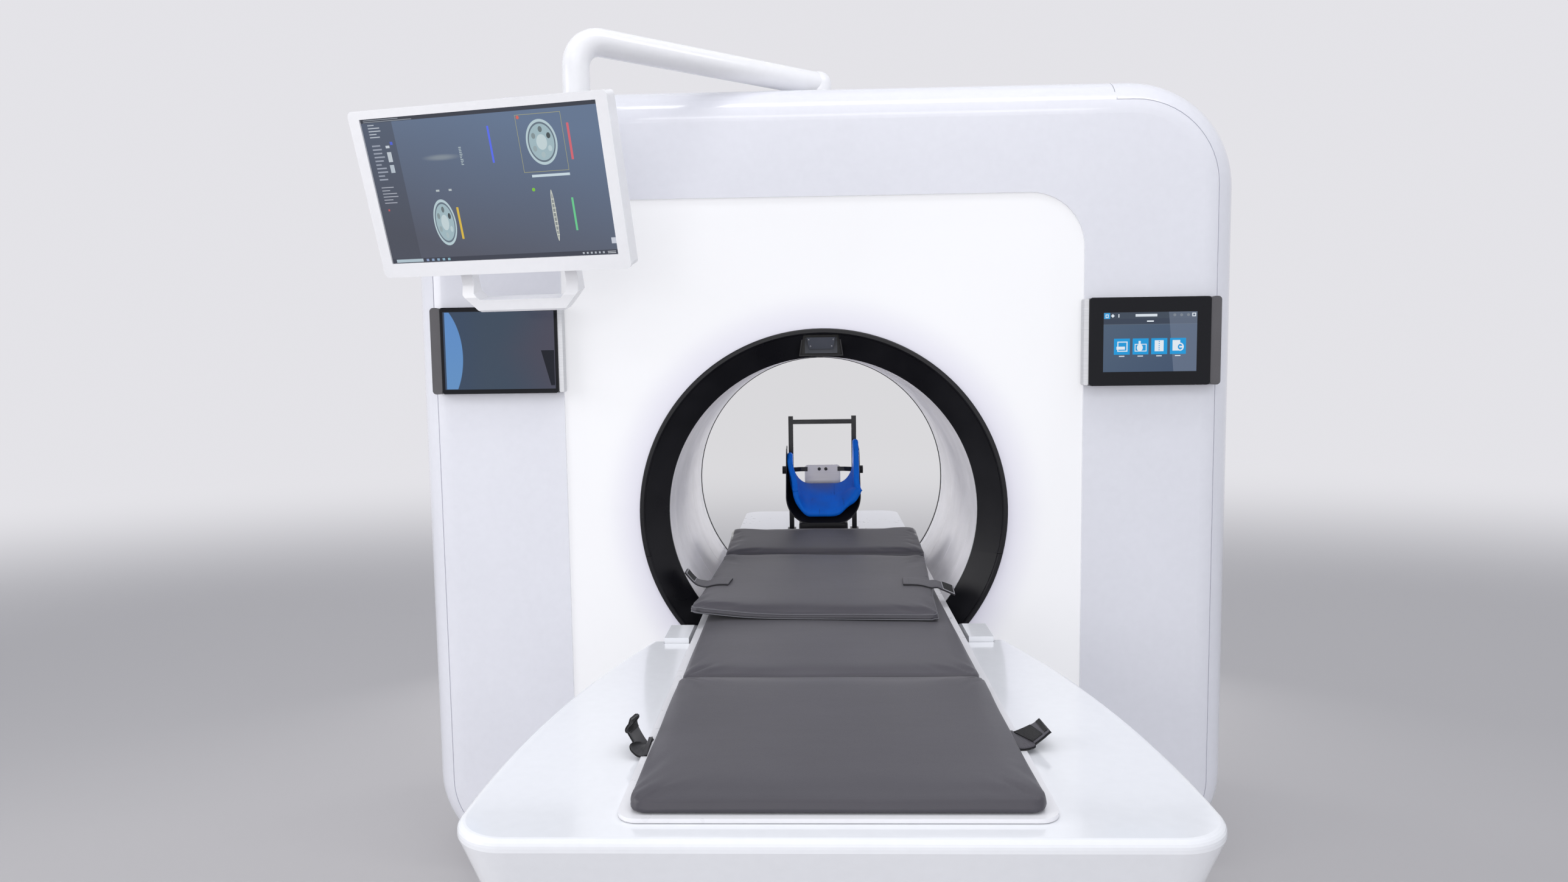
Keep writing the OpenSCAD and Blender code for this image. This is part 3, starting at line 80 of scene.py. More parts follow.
class Sock:
    """A shader socket on which Python's operators add Math nodes."""

    def __init__(self, owner, out):
        self.owner, self.out = owner, out

    def maths(self, kind, *terms):
        return self.owner.node("Math", {"operation": kind}, dict(enumerate(terms)))

    def __add__(self, o): return self.maths("ADD", self, o)
    def __radd__(self, o): return self.maths("ADD", o, self)
    def __sub__(self, o): return self.maths("SUBTRACT", self, o)
    def __rsub__(self, o): return self.maths("SUBTRACT", o, self)
    def __mul__(self, o): return self.maths("MULTIPLY", self, o)
    def __truediv__(self, o): return self.maths("DIVIDE", self, o)
    def __lt__(self, o): return self.maths("LESS_THAN", self, o)
    def __gt__(self, o): return self.maths("GREATER_THAN", self, o)
    def __mod__(self, o): return self.maths("FLOORED_MODULO", self, o)
    def __abs__(self): return self.maths("ABSOLUTE", self)
    def sqrt(self): return self.maths("SQRT", self)
    def floor(self): return self.maths("FLOOR", self)
    def most(self, o): return self.maths("MAXIMUM", self, o)

    def wave(self, pitch):
        """A sine that repeats every pitch."""
        return self.maths("SINE", self * (2 * pi / pitch))

    def ramp(self, lo, hi, a=0.0, b=1.0, kind="LINEAR"):
        """Straight change from a at lo to b at hi, level beyond them."""
        return self.owner.node("MapRange", {"clamp": True, "interpolation_type": kind},
                {0: self, 1: lo, 2: hi, 3: a, 4: b})

    def smooth(self, lo, hi, a=0.0, b=1.0):
        return self.ramp(lo, hi, a, b, "SMOOTHSTEP")


class Tree:
    """A node tree whose nodes are added, set and linked in one call."""

    def __init__(self, tree):
        self.tree = tree

    def plug(self, socket, value):
        if isinstance(value, Sock):
            self.tree.links.new(value.out, socket)
        elif isinstance(value, tuple) and len(value) == 3 and socket.type == "RGBA":
            socket.default_value = (*value, 1.0)
        else:
            socket.default_value = value

    def node(self, kind, settings={}, links={}, out=0):
        """Adds a node, sets its settings and then its sockets, and returns one output."""
        n = self.tree.nodes.new("ShaderNode" + kind)
        for key, value in settings.items():
            setattr(n, key, value)
        for key, value in links.items():
            self.plug(n.inputs[key], value)
        return Sock(self, n.outputs[out])

    def seen(self):
        """1 for the rays that see the background: camera, glossy and transmission rays."""
        camera, glossy, clear = [self.node("LightPath", out="Is %s Ray" % kind)
                for kind in ("Camera", "Glossy", "Transmission")]
        return camera.most(glossy).most(clear)


class Look(Tree):
    """One procedural material, made round a Principled BSDF."""

    def __init__(self, name, colour, rough, metal=0.0, **values):
        self.mat = bpy.data.materials.new(name)
        self.mat.use_nodes = True
        super().__init__(self.mat.node_tree)
        self.bsdf = self.tree.nodes["Principled BSDF"]
        self.set("Base Color", colour)
        self.set("Roughness", rough)
        self.set("Metallic", metal)
        for key, value in values.items():
            self.set(key.replace("_", " ").title().replace("Ior", "IOR"), value)

    def set(self, socket, value):
        self.plug(self.bsdf.inputs[socket], value)

    def split(self, vector, count):
        n = self.tree.nodes.new("ShaderNodeSeparateXYZ")
        self.plug(n.inputs[0], vector)
        return [Sock(self, n.outputs[i]) for i in range(count)]

    def place(self):
        """Object coordinates, in metres."""
        return self.node("TexCoord", out="Object")

    def axes(self):
        return self.split(self.place(), 3)

    def uv(self):
        return self.split(self.node("UVMap", {"uv_map": "UVMap"}), 2)

    def noise(self, scale, detail=2.0, rough=0.5, vector=None):
        return self.node("TexNoise", {}, {"Vector": vector or self.place(), "Scale": scale,
                "Detail": detail, "Roughness": rough})

    def cells(self, scale):
        return self.node("TexVoronoi", {}, {"Vector": self.place(), "Scale": scale})

    def stretch(self, *scale):
        return self.node("Mapping", {}, {"Vector": self.place(), "Scale": scale})

    def blend(self, mask, a, b):
        """Colour a where mask is 0 and b where it is 1."""
        n = self.tree.nodes.new("ShaderNodeMix")
        n.data_type = "RGBA"
        for i, value in ((0, mask), (6, a), (7, b)):
            self.plug(n.inputs[i], value)
        return Sock(self, n.outputs[2])

    def tone(self, mask, lo, hi, a, b):
        """Base colour from a to b as mask goes from lo to hi."""
        self.set("Base Color", self.blend(mask.ramp(lo, hi), a, b))

    def gloss(self, mask, lo, hi, a, b):
        """Roughness from a to b as mask goes from lo to hi."""
        self.set("Roughness", mask.ramp(lo, hi, a, b))

    def bump(self, height, strength, distance, under=None):
        links = {"Height": height, "Strength": strength, "Distance": distance}
        if under is not None:
            links["Normal"] = under
        relief = self.node("Bump", {}, links)
        self.set("Normal", relief)
        return relief


def radius(x, y):
    return (x * x + y * y).sqrt()


def shade(colour, factor, lift=0.0):
    """A colour made darker or paler."""
    return tuple(min(1.0, c * factor + lift) for c in colour)


# materials

def moulded_gloss(name, colour, rough=0.16, coat=0.35):
    """Lacquered plastic shell: faint cloudiness, fine polish marks and orange peel."""
    look = Look(name, colour, rough, coat_weight=coat, coat_roughness=0.05, ior=1.48)
    cloud, fine = look.noise(2.2, 3.0), look.noise(60.0)
    look.tone(cloud * 0.7 + fine * 0.3, 0.35, 0.65, shade(colour, 0.955), colour)
    look.gloss(cloud * 0.5 + fine * 0.5, 0.3, 0.7, rough * 0.8, rough * 1.25)
    look.bump(look.noise(240.0), 0.012, 0.001)
    return look.mat


def moulded_matte(name, colour, rough, grain, scale=1500.0, spec=0.5):
    """Moulded plastic with a spark-eroded grain and slightly polished patches."""
    look = Look(name, colour, rough, specular_ior_level=spec)
    cloud = look.noise(9.0, 3.0)
    look.tone(cloud, 0.35, 0.7, colour, shade(colour, 1.18, 0.003))
    look.gloss(cloud, 0.3, 0.7, rough * 0.85, rough * 1.12)
    look.bump(look.cells(scale), grain, 0.0004)
    return look.mat


def brushed_metal(name, colour, rough):
    """Metal with fine lines along one axis and a soft cloud of handling."""
    look = Look(name, colour, rough, 1.0)
    lines, cloud = look.noise(1.0, 3.0, 0.6, look.stretch(8.0, 8.0, 700.0)), look.noise(7.0)
    look.tone(lines, 0.3, 0.7, shade(colour, 0.82), colour)
    look.gloss(lines * 0.6 + cloud * 0.4, 0.3, 0.7, rough * 0.75, rough * 1.3)
    look.bump(lines, 0.05, 0.0006)
    return look.mat


def painted_steel(name, colour):
    """Powder coat: fine pebbles in the paint and a little dust in the hollows."""
    look = Look(name, colour, 0.4)
    pebble = look.noise(700.0, 1.0)
    look.tone(look.noise(6.0, 3.0), 0.35, 0.7, colour, shade(colour, 1.15))
    look.gloss(pebble, 0.3, 0.7, 0.32, 0.48)
    look.bump(pebble, 0.12, 0.0006)
    return look.mat


def lit_diffuser():
    """Back-lit opal sheet: even white light that fades to a lilac shade where the bore's
    ring covers the lamps, a little weaker toward the floor."""
    look = Look("lit_opal", (0.6, 0.6, 0.62), 0.4, coat_weight=0.1)
    x, y, z = look.axes()
    reach = radius(x, z - AXIS_Z)
    cloud = look.noise(1.6).ramp(0.3, 0.7, 0.985, 1.0)
    light = reach.smooth(0.448, 0.56) * z.ramp(0.3, 1.7, 0.97, 1.0) * cloud
    look.set("Emission Color", look.blend(light, (0.6, 0.57, 0.74), (1.0, 1.0, 1.0)))
    look.set("Emission Strength", 0.35)
    look.gloss(cloud, 0.985, 1.0, 0.3, 0.4)
    return look.mat


def wipe_clean_cover(name, colour=(0.049, 0.046, 0.057), painted_shade_front=None):
    """Coated upholstery fabric: leather grain, soft creases and a worn sheen on the crown. With
    the front band set to a point and an angle, the face along that front edge is painted black:
    painted shade on the front face."""
    look = Look(name, colour, 0.46, specular_ior_level=0.45, sheen_weight=0.12, sheen_roughness=0.5)
    grain = look.cells(620.0) * 0.6 + look.noise(1500.0) * 0.4
    crease = look.noise(1.0, 3.0, 0.55, look.stretch(5.0, 11.0, 5.0))
    cloud = look.noise(3.5)
    tone = look.blend((cloud * 0.6 + crease * 0.4).ramp(0.35, 0.68), colour, shade(colour, 1.22))
    if painted_shade_front is not None:
        x, y, z = look.axes()
        x0, y0, yaw = painted_shade_front
        inward = (x - x0) * -sin(yaw) + (y - y0) * cos(yaw)
        # painted shade: the face along the front edge turns black
        tone = look.blend(inward.smooth(0.0045, 0.0075, 1.0, 0.0), tone, (0.004, 0.005, 0.007))
    look.set("Base Color", tone)
    look.gloss(cloud * 0.5 + grain * 0.5, 0.2, 0.7, 0.4, 0.54)
    look.bump(grain, 0.16, 0.0005, look.bump(crease, 0.1, 0.006))
    return look.mat


def webbing(name, colour):
    """Strap in cover cloth: two rows of stitches along it and a trace of weave."""
    seam, pitch, share = 0.0215, 0.0036, 0.72
    look = Look(name, colour, 0.55, sheen_weight=0.15)
    u, v = look.uv()
    weave = u.wave(0.0019) * 0.5 + v.wave(0.0016) * 0.5
    row, box = [abs(line).smooth(0.0003, 0.0008, 1.0, 0.0) for line in (abs(u) - seam, v - 0.014)]
    dash_v, dash_u = [((way % pitch) / pitch) < share for way in (v, u)]
    stitch = (row * dash_v).most(box * (abs(u) < seam) * dash_u)
    cloth = look.blend(weave.ramp(-0.8, 0.8), colour, shade(colour, 1.25))
    look.set("Base Color", look.blend(stitch, cloth, shade(colour, 0.4)))
    look.gloss(weave, -1.0, 1.0, 0.62, 0.48)
    look.bump(weave * 0.2 + stitch * 0.8, 0.5, 0.0006)
    return look.mat


def hook_tape():
    """Hook tape: a square field of small stiff hooks."""
    look = Look("hook_tape", (0.012, 0.012, 0.013), 0.75)
    u, v = look.uv()
    hooks = u.wave(0.0026) * v.wave(0.0026)
    look.tone(hooks, -0.2, 0.9, (0.008, 0.008, 0.009), (0.05, 0.05, 0.053))
    look.gloss(hooks, -1.0, 1.0, 0.85, 0.55)
    look.bump(hooks, 0.8, 0.0012)
    return look.mat


def pale_selvage():
    """Pale woven border that shows round the hook tape."""
    look = Look("pale_selvage", (0.5, 0.5, 0.53), 0.7)
    u, v = look.uv()
    weave = v.wave(0.0015) * 0.5 + u.wave(0.0012) * 0.5
    look.tone(weave, -0.8, 0.8, (0.42, 0.42, 0.45), (0.6, 0.6, 0.63))
    look.bump(weave, 0.4, 0.0004)
    return look.mat


def moulded_foam():
    """Blue skinned foam of the head cradle: fine pores, creases darkened with painted shade, and a
    greyer painted sheen in the dip toward its rear edge, standing for grazing reflection."""
    look = Look("cradle_foam", (0.0, 0.14, 0.7), 0.6, specular_ior_level=0.18)
    x, y, z = look.axes()
    cloud = look.noise(18.0, 3.0)
    crease = look.noise(1.0, 4.0, 0.7, look.stretch(90.0, 14.0, 14.0))
    base = look.blend(cloud.ramp(0.3, 0.7), (0.0, 0.135, 0.7), (0.0, 0.175, 0.84))
    painted_sheen_dip = y.smooth(0.235, 0.31) * z.smooth(0.93, 0.97, 1.0, 0.0) * abs(x).smooth(0.02, 0.07, 1.0, 0.3)
    # painted sheen: greyer in the dip, standing for grazing reflection off the foam
    base = look.blend(painted_sheen_dip * 0.8, base, (0.085, 0.13, 0.34))
    # painted shade: darker along the crease lines
    look.set("Base Color", look.blend(crease.ramp(0.64, 0.78) * 0.8, base, (0.002, 0.045, 0.22)))
    look.gloss(cloud, 0.3, 0.7, 0.48, 0.62)
    look.bump(look.cells(900.0), 0.2, 0.0006, look.bump(crease, 0.12, 0.002))
    return look.mat


def screwed_plate():
    """Dark textured face of the sensor's housing with four bright pan heads: a pixel is screw
    metal where it lies within 1.8 mm of a screw's middle."""
    look = Look("sensor_face", (0.052, 0.056, 0.072), 0.5)
    x, y, z = look.axes()
    side = abs(x)
    heads = [radius(side - sx, z - sz).smooth(0.0015, 0.0021, 1.0, 0.0)
            for sx, sz in SCREWS]
    near, cloud = heads[0].most(heads[1]), look.noise(9.0)
    face = look.blend(cloud.ramp(0.35, 0.7), (0.054, 0.06, 0.078), (0.068, 0.074, 0.094))
    look.set("Base Color", look.blend(near, face, (0.62, 0.62, 0.64)))
    look.set("Metallic", near)
    look.gloss(near, 0.0, 1.0, 0.5, 0.25)
    look.bump(look.cells(1500.0), 0.12, 0.0004)
    return look.mat


def clear_front():
    """Printed black glass: deep gloss with a trace of wiping haze."""
    colour, rough = (0.006, 0.0065, 0.009), 0.06
    look = Look("panel_glass", colour, rough, specular_ior_level=0.25)
    haze = look.noise(7.0, 3.0)
    look.tone(haze, 0.4, 0.7, colour, shade(colour, 1.6))
    look.gloss(haze, 0.35, 0.75, rough, rough * 2.2)
    return look.mat


# pictures on the screens

class Picture(Look):
    """A screen picture in shader maths: shapes laid one over another on the UV map of a glass
    that is w by h millimetres, with (0, 0) at left and below from its lower left corner."""

    def __init__(self, name, w, h, left=0.0, below=0.0):
        super().__init__(name, (0.005, 0.0055, 0.008), 0.12, specular_ior_level=0.25)
        u, v = self.uv()
        self.x, self.y, self.colour = u * w - left, v * h - below, (0.0, 0.0, 0.0)

    def lay(self, mask, colour):
        self.colour = self.blend(mask, self.colour, colour)

    def span(self, axis, lo, hi):
        return abs(axis - (lo + hi) / 2) < (hi - lo) / 2

    def field(self, x0, y0, x1, y1):
        return self.span(self.x, x0, x1) * self.span(self.y, y0, y1)

    def bar(self, x0, y0, x1, y1, colour):
        self.lay(self.field(x0, y0, x1, y1), colour)

    def bars(self, colour, *boxes):
        for box in boxes:
            self.bar(*box, colour)

    def rows(self, x0, x1, y0, y1, pitch, thick, colour):
        """Evenly spaced short bars, like lines of small print."""
        stripe = ((self.y - y0) % pitch) < thick
        line = ((self.y - y0) / pitch).floor()
        ragged = self.node("TexWhiteNoise", {"noise_dimensions": "1D"}, {"W": line}, "Value")
        right = x0 + ragged * (x1 - x0) * 0.5 + (x1 - x0) * 0.5
        self.lay(stripe * (self.x > x0) * (self.x < right) * self.span(self.y, y0, y1), colour)

    def outline(self, x0, y0, x1, y1, t, colour):
        self.lay(self.field(x0, y0, x1, y1) * (1 - self.field(x0 + t, y0 + t, x1 - t, y1 - t)), colour)

    def ellipse(self, cx, cy, rx, ry):
        """Distance in ellipse radii: 1 on the rim."""
        return radius((self.x - cx) / rx, (self.y - cy) / ry)

    def disc(self, cx, cy, rx, ry, colour):
        self.lay(self.ellipse(cx, cy, rx, ry) < 1.0, colour)

    def slice(self, cx, cy, rx, ry):
        """A round test body: a bright rim, a paler core and six round inserts."""
        reach = self.ellipse(cx, cy, rx, ry)
        for size, colour in ((1.0, (0.46, 0.58, 0.62)), (0.88, (0.13, 0.17, 0.21)),
                (0.8, (0.34, 0.46, 0.5)), (0.34, (0.52, 0.62, 0.64))):
            self.lay(reach < size, colour)
        for i in range(6):
            a, tone = i * pi / 3 + 0.5, 0.08 + 0.1 * i
            self.disc(cx + rx * 0.56 * cos(a), cy + ry * 0.56 * sin(a), rx * 0.13, ry * 0.13,
                    (tone * 0.8, tone, tone * 1.05))

    def finish(self):
        self.set("Emission Color", self.colour)
        self.set("Emission Strength", 1.0)
        self.gloss(self.noise(6.0), 0.35, 0.7, 0.08, 0.16)
        return self.mat


def review_picture():
    """Four generic slice views of a test body with coloured scale bars, a tool column at the
    left, a title row and a task row."""
    p = Picture("review_picture", 532.0, 300.0)
    sheen = p.noise(2.4, 1.0)
    p.colour = p.blend((p.y * 0.55 + p.x * 0.12 - 30 + sheen * 60).ramp(40, 190),
            (0.088, 0.095, 0.125), (0.125, 0.175, 0.27))
    p.lay(p.field(0, 0, 72, 300) * 0.55, (0.06, 0.066, 0.085))
    p.bar(0, 292, 532, 300, (0.045, 0.05, 0.065))
    p.rows(6, 150, 293, 300, 3.4, 1.2, (0.3, 0.33, 0.38))
    p.rows(14, 44, 262, 288, 6.0, 2.2, (0.42, 0.46, 0.52))
    p.rows(14, 40, 176, 252, 7.6, 3.0, (0.3, 0.33, 0.4))
    p.bar(46, 212, 56, 232, (0.5, 0.55, 0.6))
    p.bar(46, 240, 55, 245, (0.55, 0.6, 0.66))
    p.bar(46, 190, 56, 206, (0.44, 0.5, 0.56))
    p.rows(14, 52, 128, 166, 6.4, 2.0, (0.34, 0.36, 0.42))
    p.bar(18, 112, 22, 116, (0.5, 0.1, 0.1))
    p.bar(58, 246, 64, 252, (0.08, 0.12, 0.62))
    # upper left: a long soft streak, the side view of a cylinder
    p.lay(p.ellipse(170, 214, 52, 8).smooth(0.2, 1.0, 1.0, 0.0) * 0.55, (0.3, 0.34, 0.36))
    p.rows(214, 221, 196, 232, 3.4, 1.6, (0.42, 0.5, 0.52))
    p.bar(286, 196, 290.5, 268, (0.1, 0.15, 0.8))
    # upper right: round slice with rings and holes, in a frame
    p.outline(352, 172, 452, 284, 1.0, (0.34, 0.34, 0.2))
    p.slice(402, 229, 34, 44)
    p.bar(461, 192, 466, 262, (0.62, 0.13, 0.16))
    p.bar(368, 162, 452, 167, (0.56, 0.66, 0.72))
    p.disc(358, 279, 3.4, 3.4, (0.62, 0.13, 0.1))
    # lower left: the same body in another plane
    p.slice(148, 82, 26, 48)
    p.bar(181, 46, 186, 112, (0.66, 0.46, 0.06))
    p.bars((0.45, 0.5, 0.52), (142, 146, 150, 150), (172, 146, 179, 150))
    # lower right: thin upright section with a scale
    p.disc(404, 84, 4.2, 52, (0.5, 0.52, 0.48))
    p.disc(404, 84, 2.2, 44, (0.24, 0.26, 0.26))
    p.rows(401.5, 409, 44, 124, 9.0, 2.0, (0.6, 0.62, 0.56))
    p.bar(446, 52, 450.5, 118, (0.14, 0.56, 0.26))
    p.disc(366, 138, 3.6, 3.6, (0.2, 0.52, 0.05))
    # task row
    p.bar(0, 0, 532, 9.5, (0.05, 0.055, 0.075))
    p.bar(10, 1.6, 76, 8.2, (0.42, 0.52, 0.58))
    for i in range(5):
        p.bar(84 + i * 13, 2.4, 90 + i * 13, 7.2, (0.25, 0.32 + 0.03 * i, 0.52))
    p.bars((0.42, 0.45, 0.5), *[(452 + i * 9, 2.8, 456 + i * 9, 6.8) for i in range(6)])
    p.bars((0.5, 0.52, 0.56), (508, 2.4, 526, 3.8), (508, 5.4, 526, 6.8))
    p.bar(520, 22, 532, 34, (0.55, 0.58, 0.66))
    return p.finish()


def panel_picture():
    """Start page of the right touch panel, inside a black border: a title row, small marks and
    four blue tiles, each with a simple white shape."""
    p = Picture("panel_picture", 1000 * PANEL_W, 1000 * PANEL_H, 34.0, 33.0)
    white, blue = (0.72, 0.78, 0.84), (0.006, 0.3, 0.66)
    p.bar(0, 0, 220, 141, p.blend((p.x * 0.8 - p.y).ramp(-120, 150), (0.07, 0.108, 0.165),
            (0.045, 0.075, 0.135)))
    p.bar(0, 126, 220, 141, (0.045, 0.062, 0.088))
    p.bar(0, 113, 220, 126, (0.036, 0.05, 0.078))
    p.bar(0, 111.8, 220, 112.8, (0.1, 0.13, 0.17))
    p.lay((p.x + p.y * 0.09 > 166) * p.field(0, 0, 220, 141) * 0.5, (0.17, 0.21, 0.29))
    p.bar(1, 126, 15, 140, (0.035, 0.32, 0.66))
    p.outline(4.5, 128.5, 11.5, 136.5, 1.6, white)
    p.lay(abs(p.x - 21.5) + abs(p.y - 133) < 4.4, white)
    p.bar(34.6, 129, 36.8, 137, white)
    p.bar(75, 130.5, 126, 136.5, (0.66, 0.72, 0.78))
    p.bar(102, 118, 118, 121, white)
    for i in range(3):
        p.disc(167 + 16 * i, 133.5, 3.4, 3.4, (0.19, 0.22, 0.26))
    p.outline(208, 129.5, 217, 138, 2.0, white)
    a, b, c, d = [25 + 44 * i for i in range(4)]
    for x in (a, b, c, d):
        p.bar(x, 41, x + 37.5, 79, blue)
        p.bar(x + 12, 36, x + 25, 38.2, white)
    p.outline(a + 8, 48, a + 32, 72, 2.4, white)
    p.bar(a + 6, 53, a + 26, 60, white)
    p.outline(b + 5, 48, b + 33, 66, 1.8, white)
    p.disc(b + 17, 57, 7, 8, white)
    p.bar(b + 14, 60, b + 19, 73, white)
    p.bar(c + 8, 48, c + 29, 74, white)
    p.bars(blue, *[(c + 17.4, 50 + 5 * k, c + 19.6, 52.4 + 5 * k) for k in range(5)])
    p.bar(d + 6, 49, d + 24, 74, white)
    p.disc(d + 24, 58, 8.5, 9.5, white)
    p.disc(d + 24, 58, 5.5, 6.5, blue)
    p.bar(d + 22, 56, d + 31, 60, white)
    return p.finish()


def resting_picture_and_reflection():
    """The left panel at rest: one slate field over the whole glass with a pale blue crescent at
    its left that is a painted reflection, plum toward the upper right, and a dark field at the lower right."""
    p = Picture("resting_picture_and_reflection", 1000 * PANEL_W, 1000 * PANEL_H)
    slate = p.blend((p.x - abs(p.y - 105) * 0.4).smooth(110, 280), (0.04, 0.062, 0.096), (0.062, 0.06, 0.088))
    p.bar(8, 11, 279.5, 199, p.blend(p.x.smooth(40, 120), (0.036, 0.06, 0.104), slate))
    # painted reflection: the pale blue crescent at the left
    reflection_crescent = p.ellipse(-43, 90, 98, 148).smooth(0.985, 1.0, 1.0, 0.0)
    p.lay(reflection_crescent * (p.x > 12) * (p.y > 12) * (p.y < 198),
          p.blend(p.y.smooth(0, 200), (0.115, 0.265, 0.52), (0.105, 0.25, 0.54)))
    p.lay(p.span(p.y, 19, 104) * (p.x + p.y * 0.266 > 273.7) * (p.x < 278), (0.004, 0.005, 0.01))
    return p.finish()


# meshes

def add_mesh(name, verts, faces, mat, uv=None, smooth=True):
    """Puts arrays of points and faces into a mesh object."""
    mesh = bpy.data.meshes.new(name)
    mesh.from_pydata(verts, [], faces)
    if uv is not None:
        layer = mesh.uv_layers.new(name="UVMap")
        loops = np.empty(len(mesh.loops), np.int32)
        mesh.loops.foreach_get("vertex_index", loops)
        layer.data.foreach_set("uv", np.asarray(uv, np.float32)[loops].ravel())
    mesh.polygons.foreach_set("use_smooth", full(len(mesh.polygons), smooth))
    mesh.materials.append(mat)
    mesh.update()
    obj = bpy.data.objects.new(name, mesh)
    bpy.context.scene.collection.objects.link(obj)
    return obj


def finish_mesh(name, verts, faces, mat, body, slot, uv=None, smooth=True):
    """Adds a mesh object that rides on a body."""
    obj = add_mesh(name, verts, faces, mat, uv, smooth)
    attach(obj, body)
    return obj


def coordinates(mesh):
    co = np.empty(len(mesh.vertices) * 3, np.float32)
    mesh.vertices.foreach_get("co", co)
    return co.reshape(-1, 3).astype(float)


def search_tree(mesh, co):
    """The mesh's faces, on points co, as a tree that finds near points and hits."""
    return BVHTree.FromPolygons([Vector(p) for p in co], [tuple(f.vertices) for f in mesh.polygons])


def grid_faces(nu, nv, ring_u=False, ring_v=False):
    """The quads of a grid of points, closed round in u or v where asked."""
    i = arange(nu * nv).reshape(nu, nv)
    a = i if ring_u else i[:-1]
    b = np.roll(i, -1, 0) if ring_u else i[1:]
    if not ring_v:
        return stack([a[:, :-1], b[:, :-1], b[:, 1:], a[:, 1:]], -1).reshape(-1, 4)
    return stack([a, b, np.roll(b, -1, 1), np.roll(a, -1, 1)], -1).reshape(-1, 4)


def capped(rings, turned=True):
    """Points and faces of a form made of rings in order, with a flat face on the first and the
    last. turned reverses the wall's quads."""
    rings = np.asarray(rings)
    n, verts = rings.shape[1], rings.reshape(-1, 3)
    walls = grid_faces(len(rings), n, ring_v=True)[:, ::-1 if turned else 1]
    return verts, walls.tolist() + [list(range(n))[::-1], list(range(len(verts) - n, len(verts)))]


def turn(points, centre, yaw=0.0, tilt=0.0):
    """Points tilted about x, then turned about z, then moved to a centre."""
    x, y, z = np.moveaxis(points, -1, 0)
    y, z = y * cos(tilt) - z * sin(tilt), y * sin(tilt) + z * cos(tilt)
    x, y = x * cos(yaw) - y * sin(yaw), x * sin(yaw) + y * cos(yaw)
    return stack([x, y, z], -1) + array(centre)


def rounded_loop(hw, hl, r, count):
    """count points round a rectangle of half sizes hw and hl with corner radius r, evenly
    spaced from the left end of its lower side."""
    sides, arc = (2 * (hw - r), 2 * (hl - r)), pi * r / 2
    s = arange(count) / count * (2 * sides[0] + 2 * sides[1] + 4 * arc)
    out, start = np.zeros((count, 2)), 0.0
    for k, (sx, sy) in enumerate(((1, -1), (1, 1), (-1, 1), (-1, -1))):
        centre = array([sx * (hw - r), sy * (hl - r)])
        ahead, outward = array([sx - sy, sx + sy]) / 2, array([sx + sy, sy - sx]) / 2
        length = sides[k % 2]
        m = (s >= start) & (s < start + length)
        out[m] = centre - ahead * length + outward * r + ahead * (s[m] - start)[:, None]
        start += length
        m = (s >= start) & (s < start + arc)
        a = (k - 1) * pi / 2 + (s[m] - start) / r
        out[m] = centre + r * stack([np.cos(a), np.sin(a)], -1)
        start += arc
    return out


def slab(w, l, t_front, t_rear, corner, seed, count=320):
    """The closed form of a foam slab before its cover is blown up: rings of a rounded rectangle
    run from the middle of the underside round the lower edge, up the side, over the upper edge
    and in to the middle of the top. Each ring's height is a share of the thickness, which grows
    evenly from front to rear; three slow waves make the top uneven. y runs from 0 to l."""
    edge, shrink = 0.007, 0.003
    hw, hl = w / 2 - shrink, l / 2 - shrink
    pole = min(hw, hl) - 0.004
    k = linspace(0, 1, 9)
    a = linspace(0, pi / 2, 7)
    inset = join([(1 - k[:-1]) * pole + edge, edge * (1 - np.sin(a)), k[1:-1] * 0,
            edge * (1 - np.cos(a)), edge + k[1:] * (pole - edge)])
    low = join([k[:-1] * 0, edge * (1 - np.cos(a)), k[1:-1] * 0 + edge, a * 0 + edge, k[1:] * 0 + edge])
    share = join([k[:-1] * 0, a * 0, k[1:-1], a * 0 + 1, k[1:] * 0 + 1])
    top = join([k[:-1] * 0, a * 0, k[1:-1] * 0, edge * np.sin(a), k[1:] * 0 + edge])
    inset = clip(inset, 0, pole)
    phase = np.random.default_rng(seed).uniform(0, 2 * pi, 4)
    rings = []
    for d, z0, q, z1 in zip(inset, low, share, top):
        x, y = rounded_loop(hw - d, hl - d, max(min(corner - 0.6 * d, hw - d, hl - d), 0.003), count).T
        thick = t_front + (t_rear - t_front) * (y + l / 2) / l - shrink
        wave = (np.sin(x * 13 + phase[0]) * np.sin(y * 9 + phase[1]) + 0.6 * np.sin(x * 23 + y * 8 + phase[2])
                + 0.5 * np.sin(y * 27 - x * 6 + phase[3]))
        z = z0 + q * (thick - 2 * edge) + z1 + (z1 > 0) * 0.0006 * wave
        rings.append(stack([x, y + l / 2, z], -1))
    points = array(rings)
    verts = np.vstack([points.reshape(-1, 3), points[0].mean(0), points[-1].mean(0)])
    i, n = arange(count), len(verts) - 2
    after, last = np.roll(i, -1), n - count
    fans = [stack([full(count, n), after, i], -1),
            stack([full(count, n + 1), last + i, last + after], -1)]
    return verts, grid_faces(len(rings), count, ring_v=True)[:, ::-1].tolist() + np.vstack(fans).tolist()


PADS = {
    # name: seat (x, y, z, yaw in degrees), width, length, front and rear thickness, corner, cloth's reach, seed
    "foot_pad": ((0.006, -1.552, 0.712, 0.0), 0.5684, 0.522, 0.025, 0.025, 0.024, 0.0045, 3),
    "mid_pad": ((0.006, -1.028, 0.712, 0.0), 0.565, 0.916, 0.02, 0.02, 0.02, 0.004, 5),
    "overlay_pad": ((-0.026, -0.662, 0.7324, -3.1), 0.5644, 0.55, 0.0225, 0.0455, 0.02, 0.005, 8),
    "head_pad": ((0.006, -0.11, 0.712, 0.0), 0.5644, 0.262, 0.066, 0.094, 0.02, 0.005, 12),
}


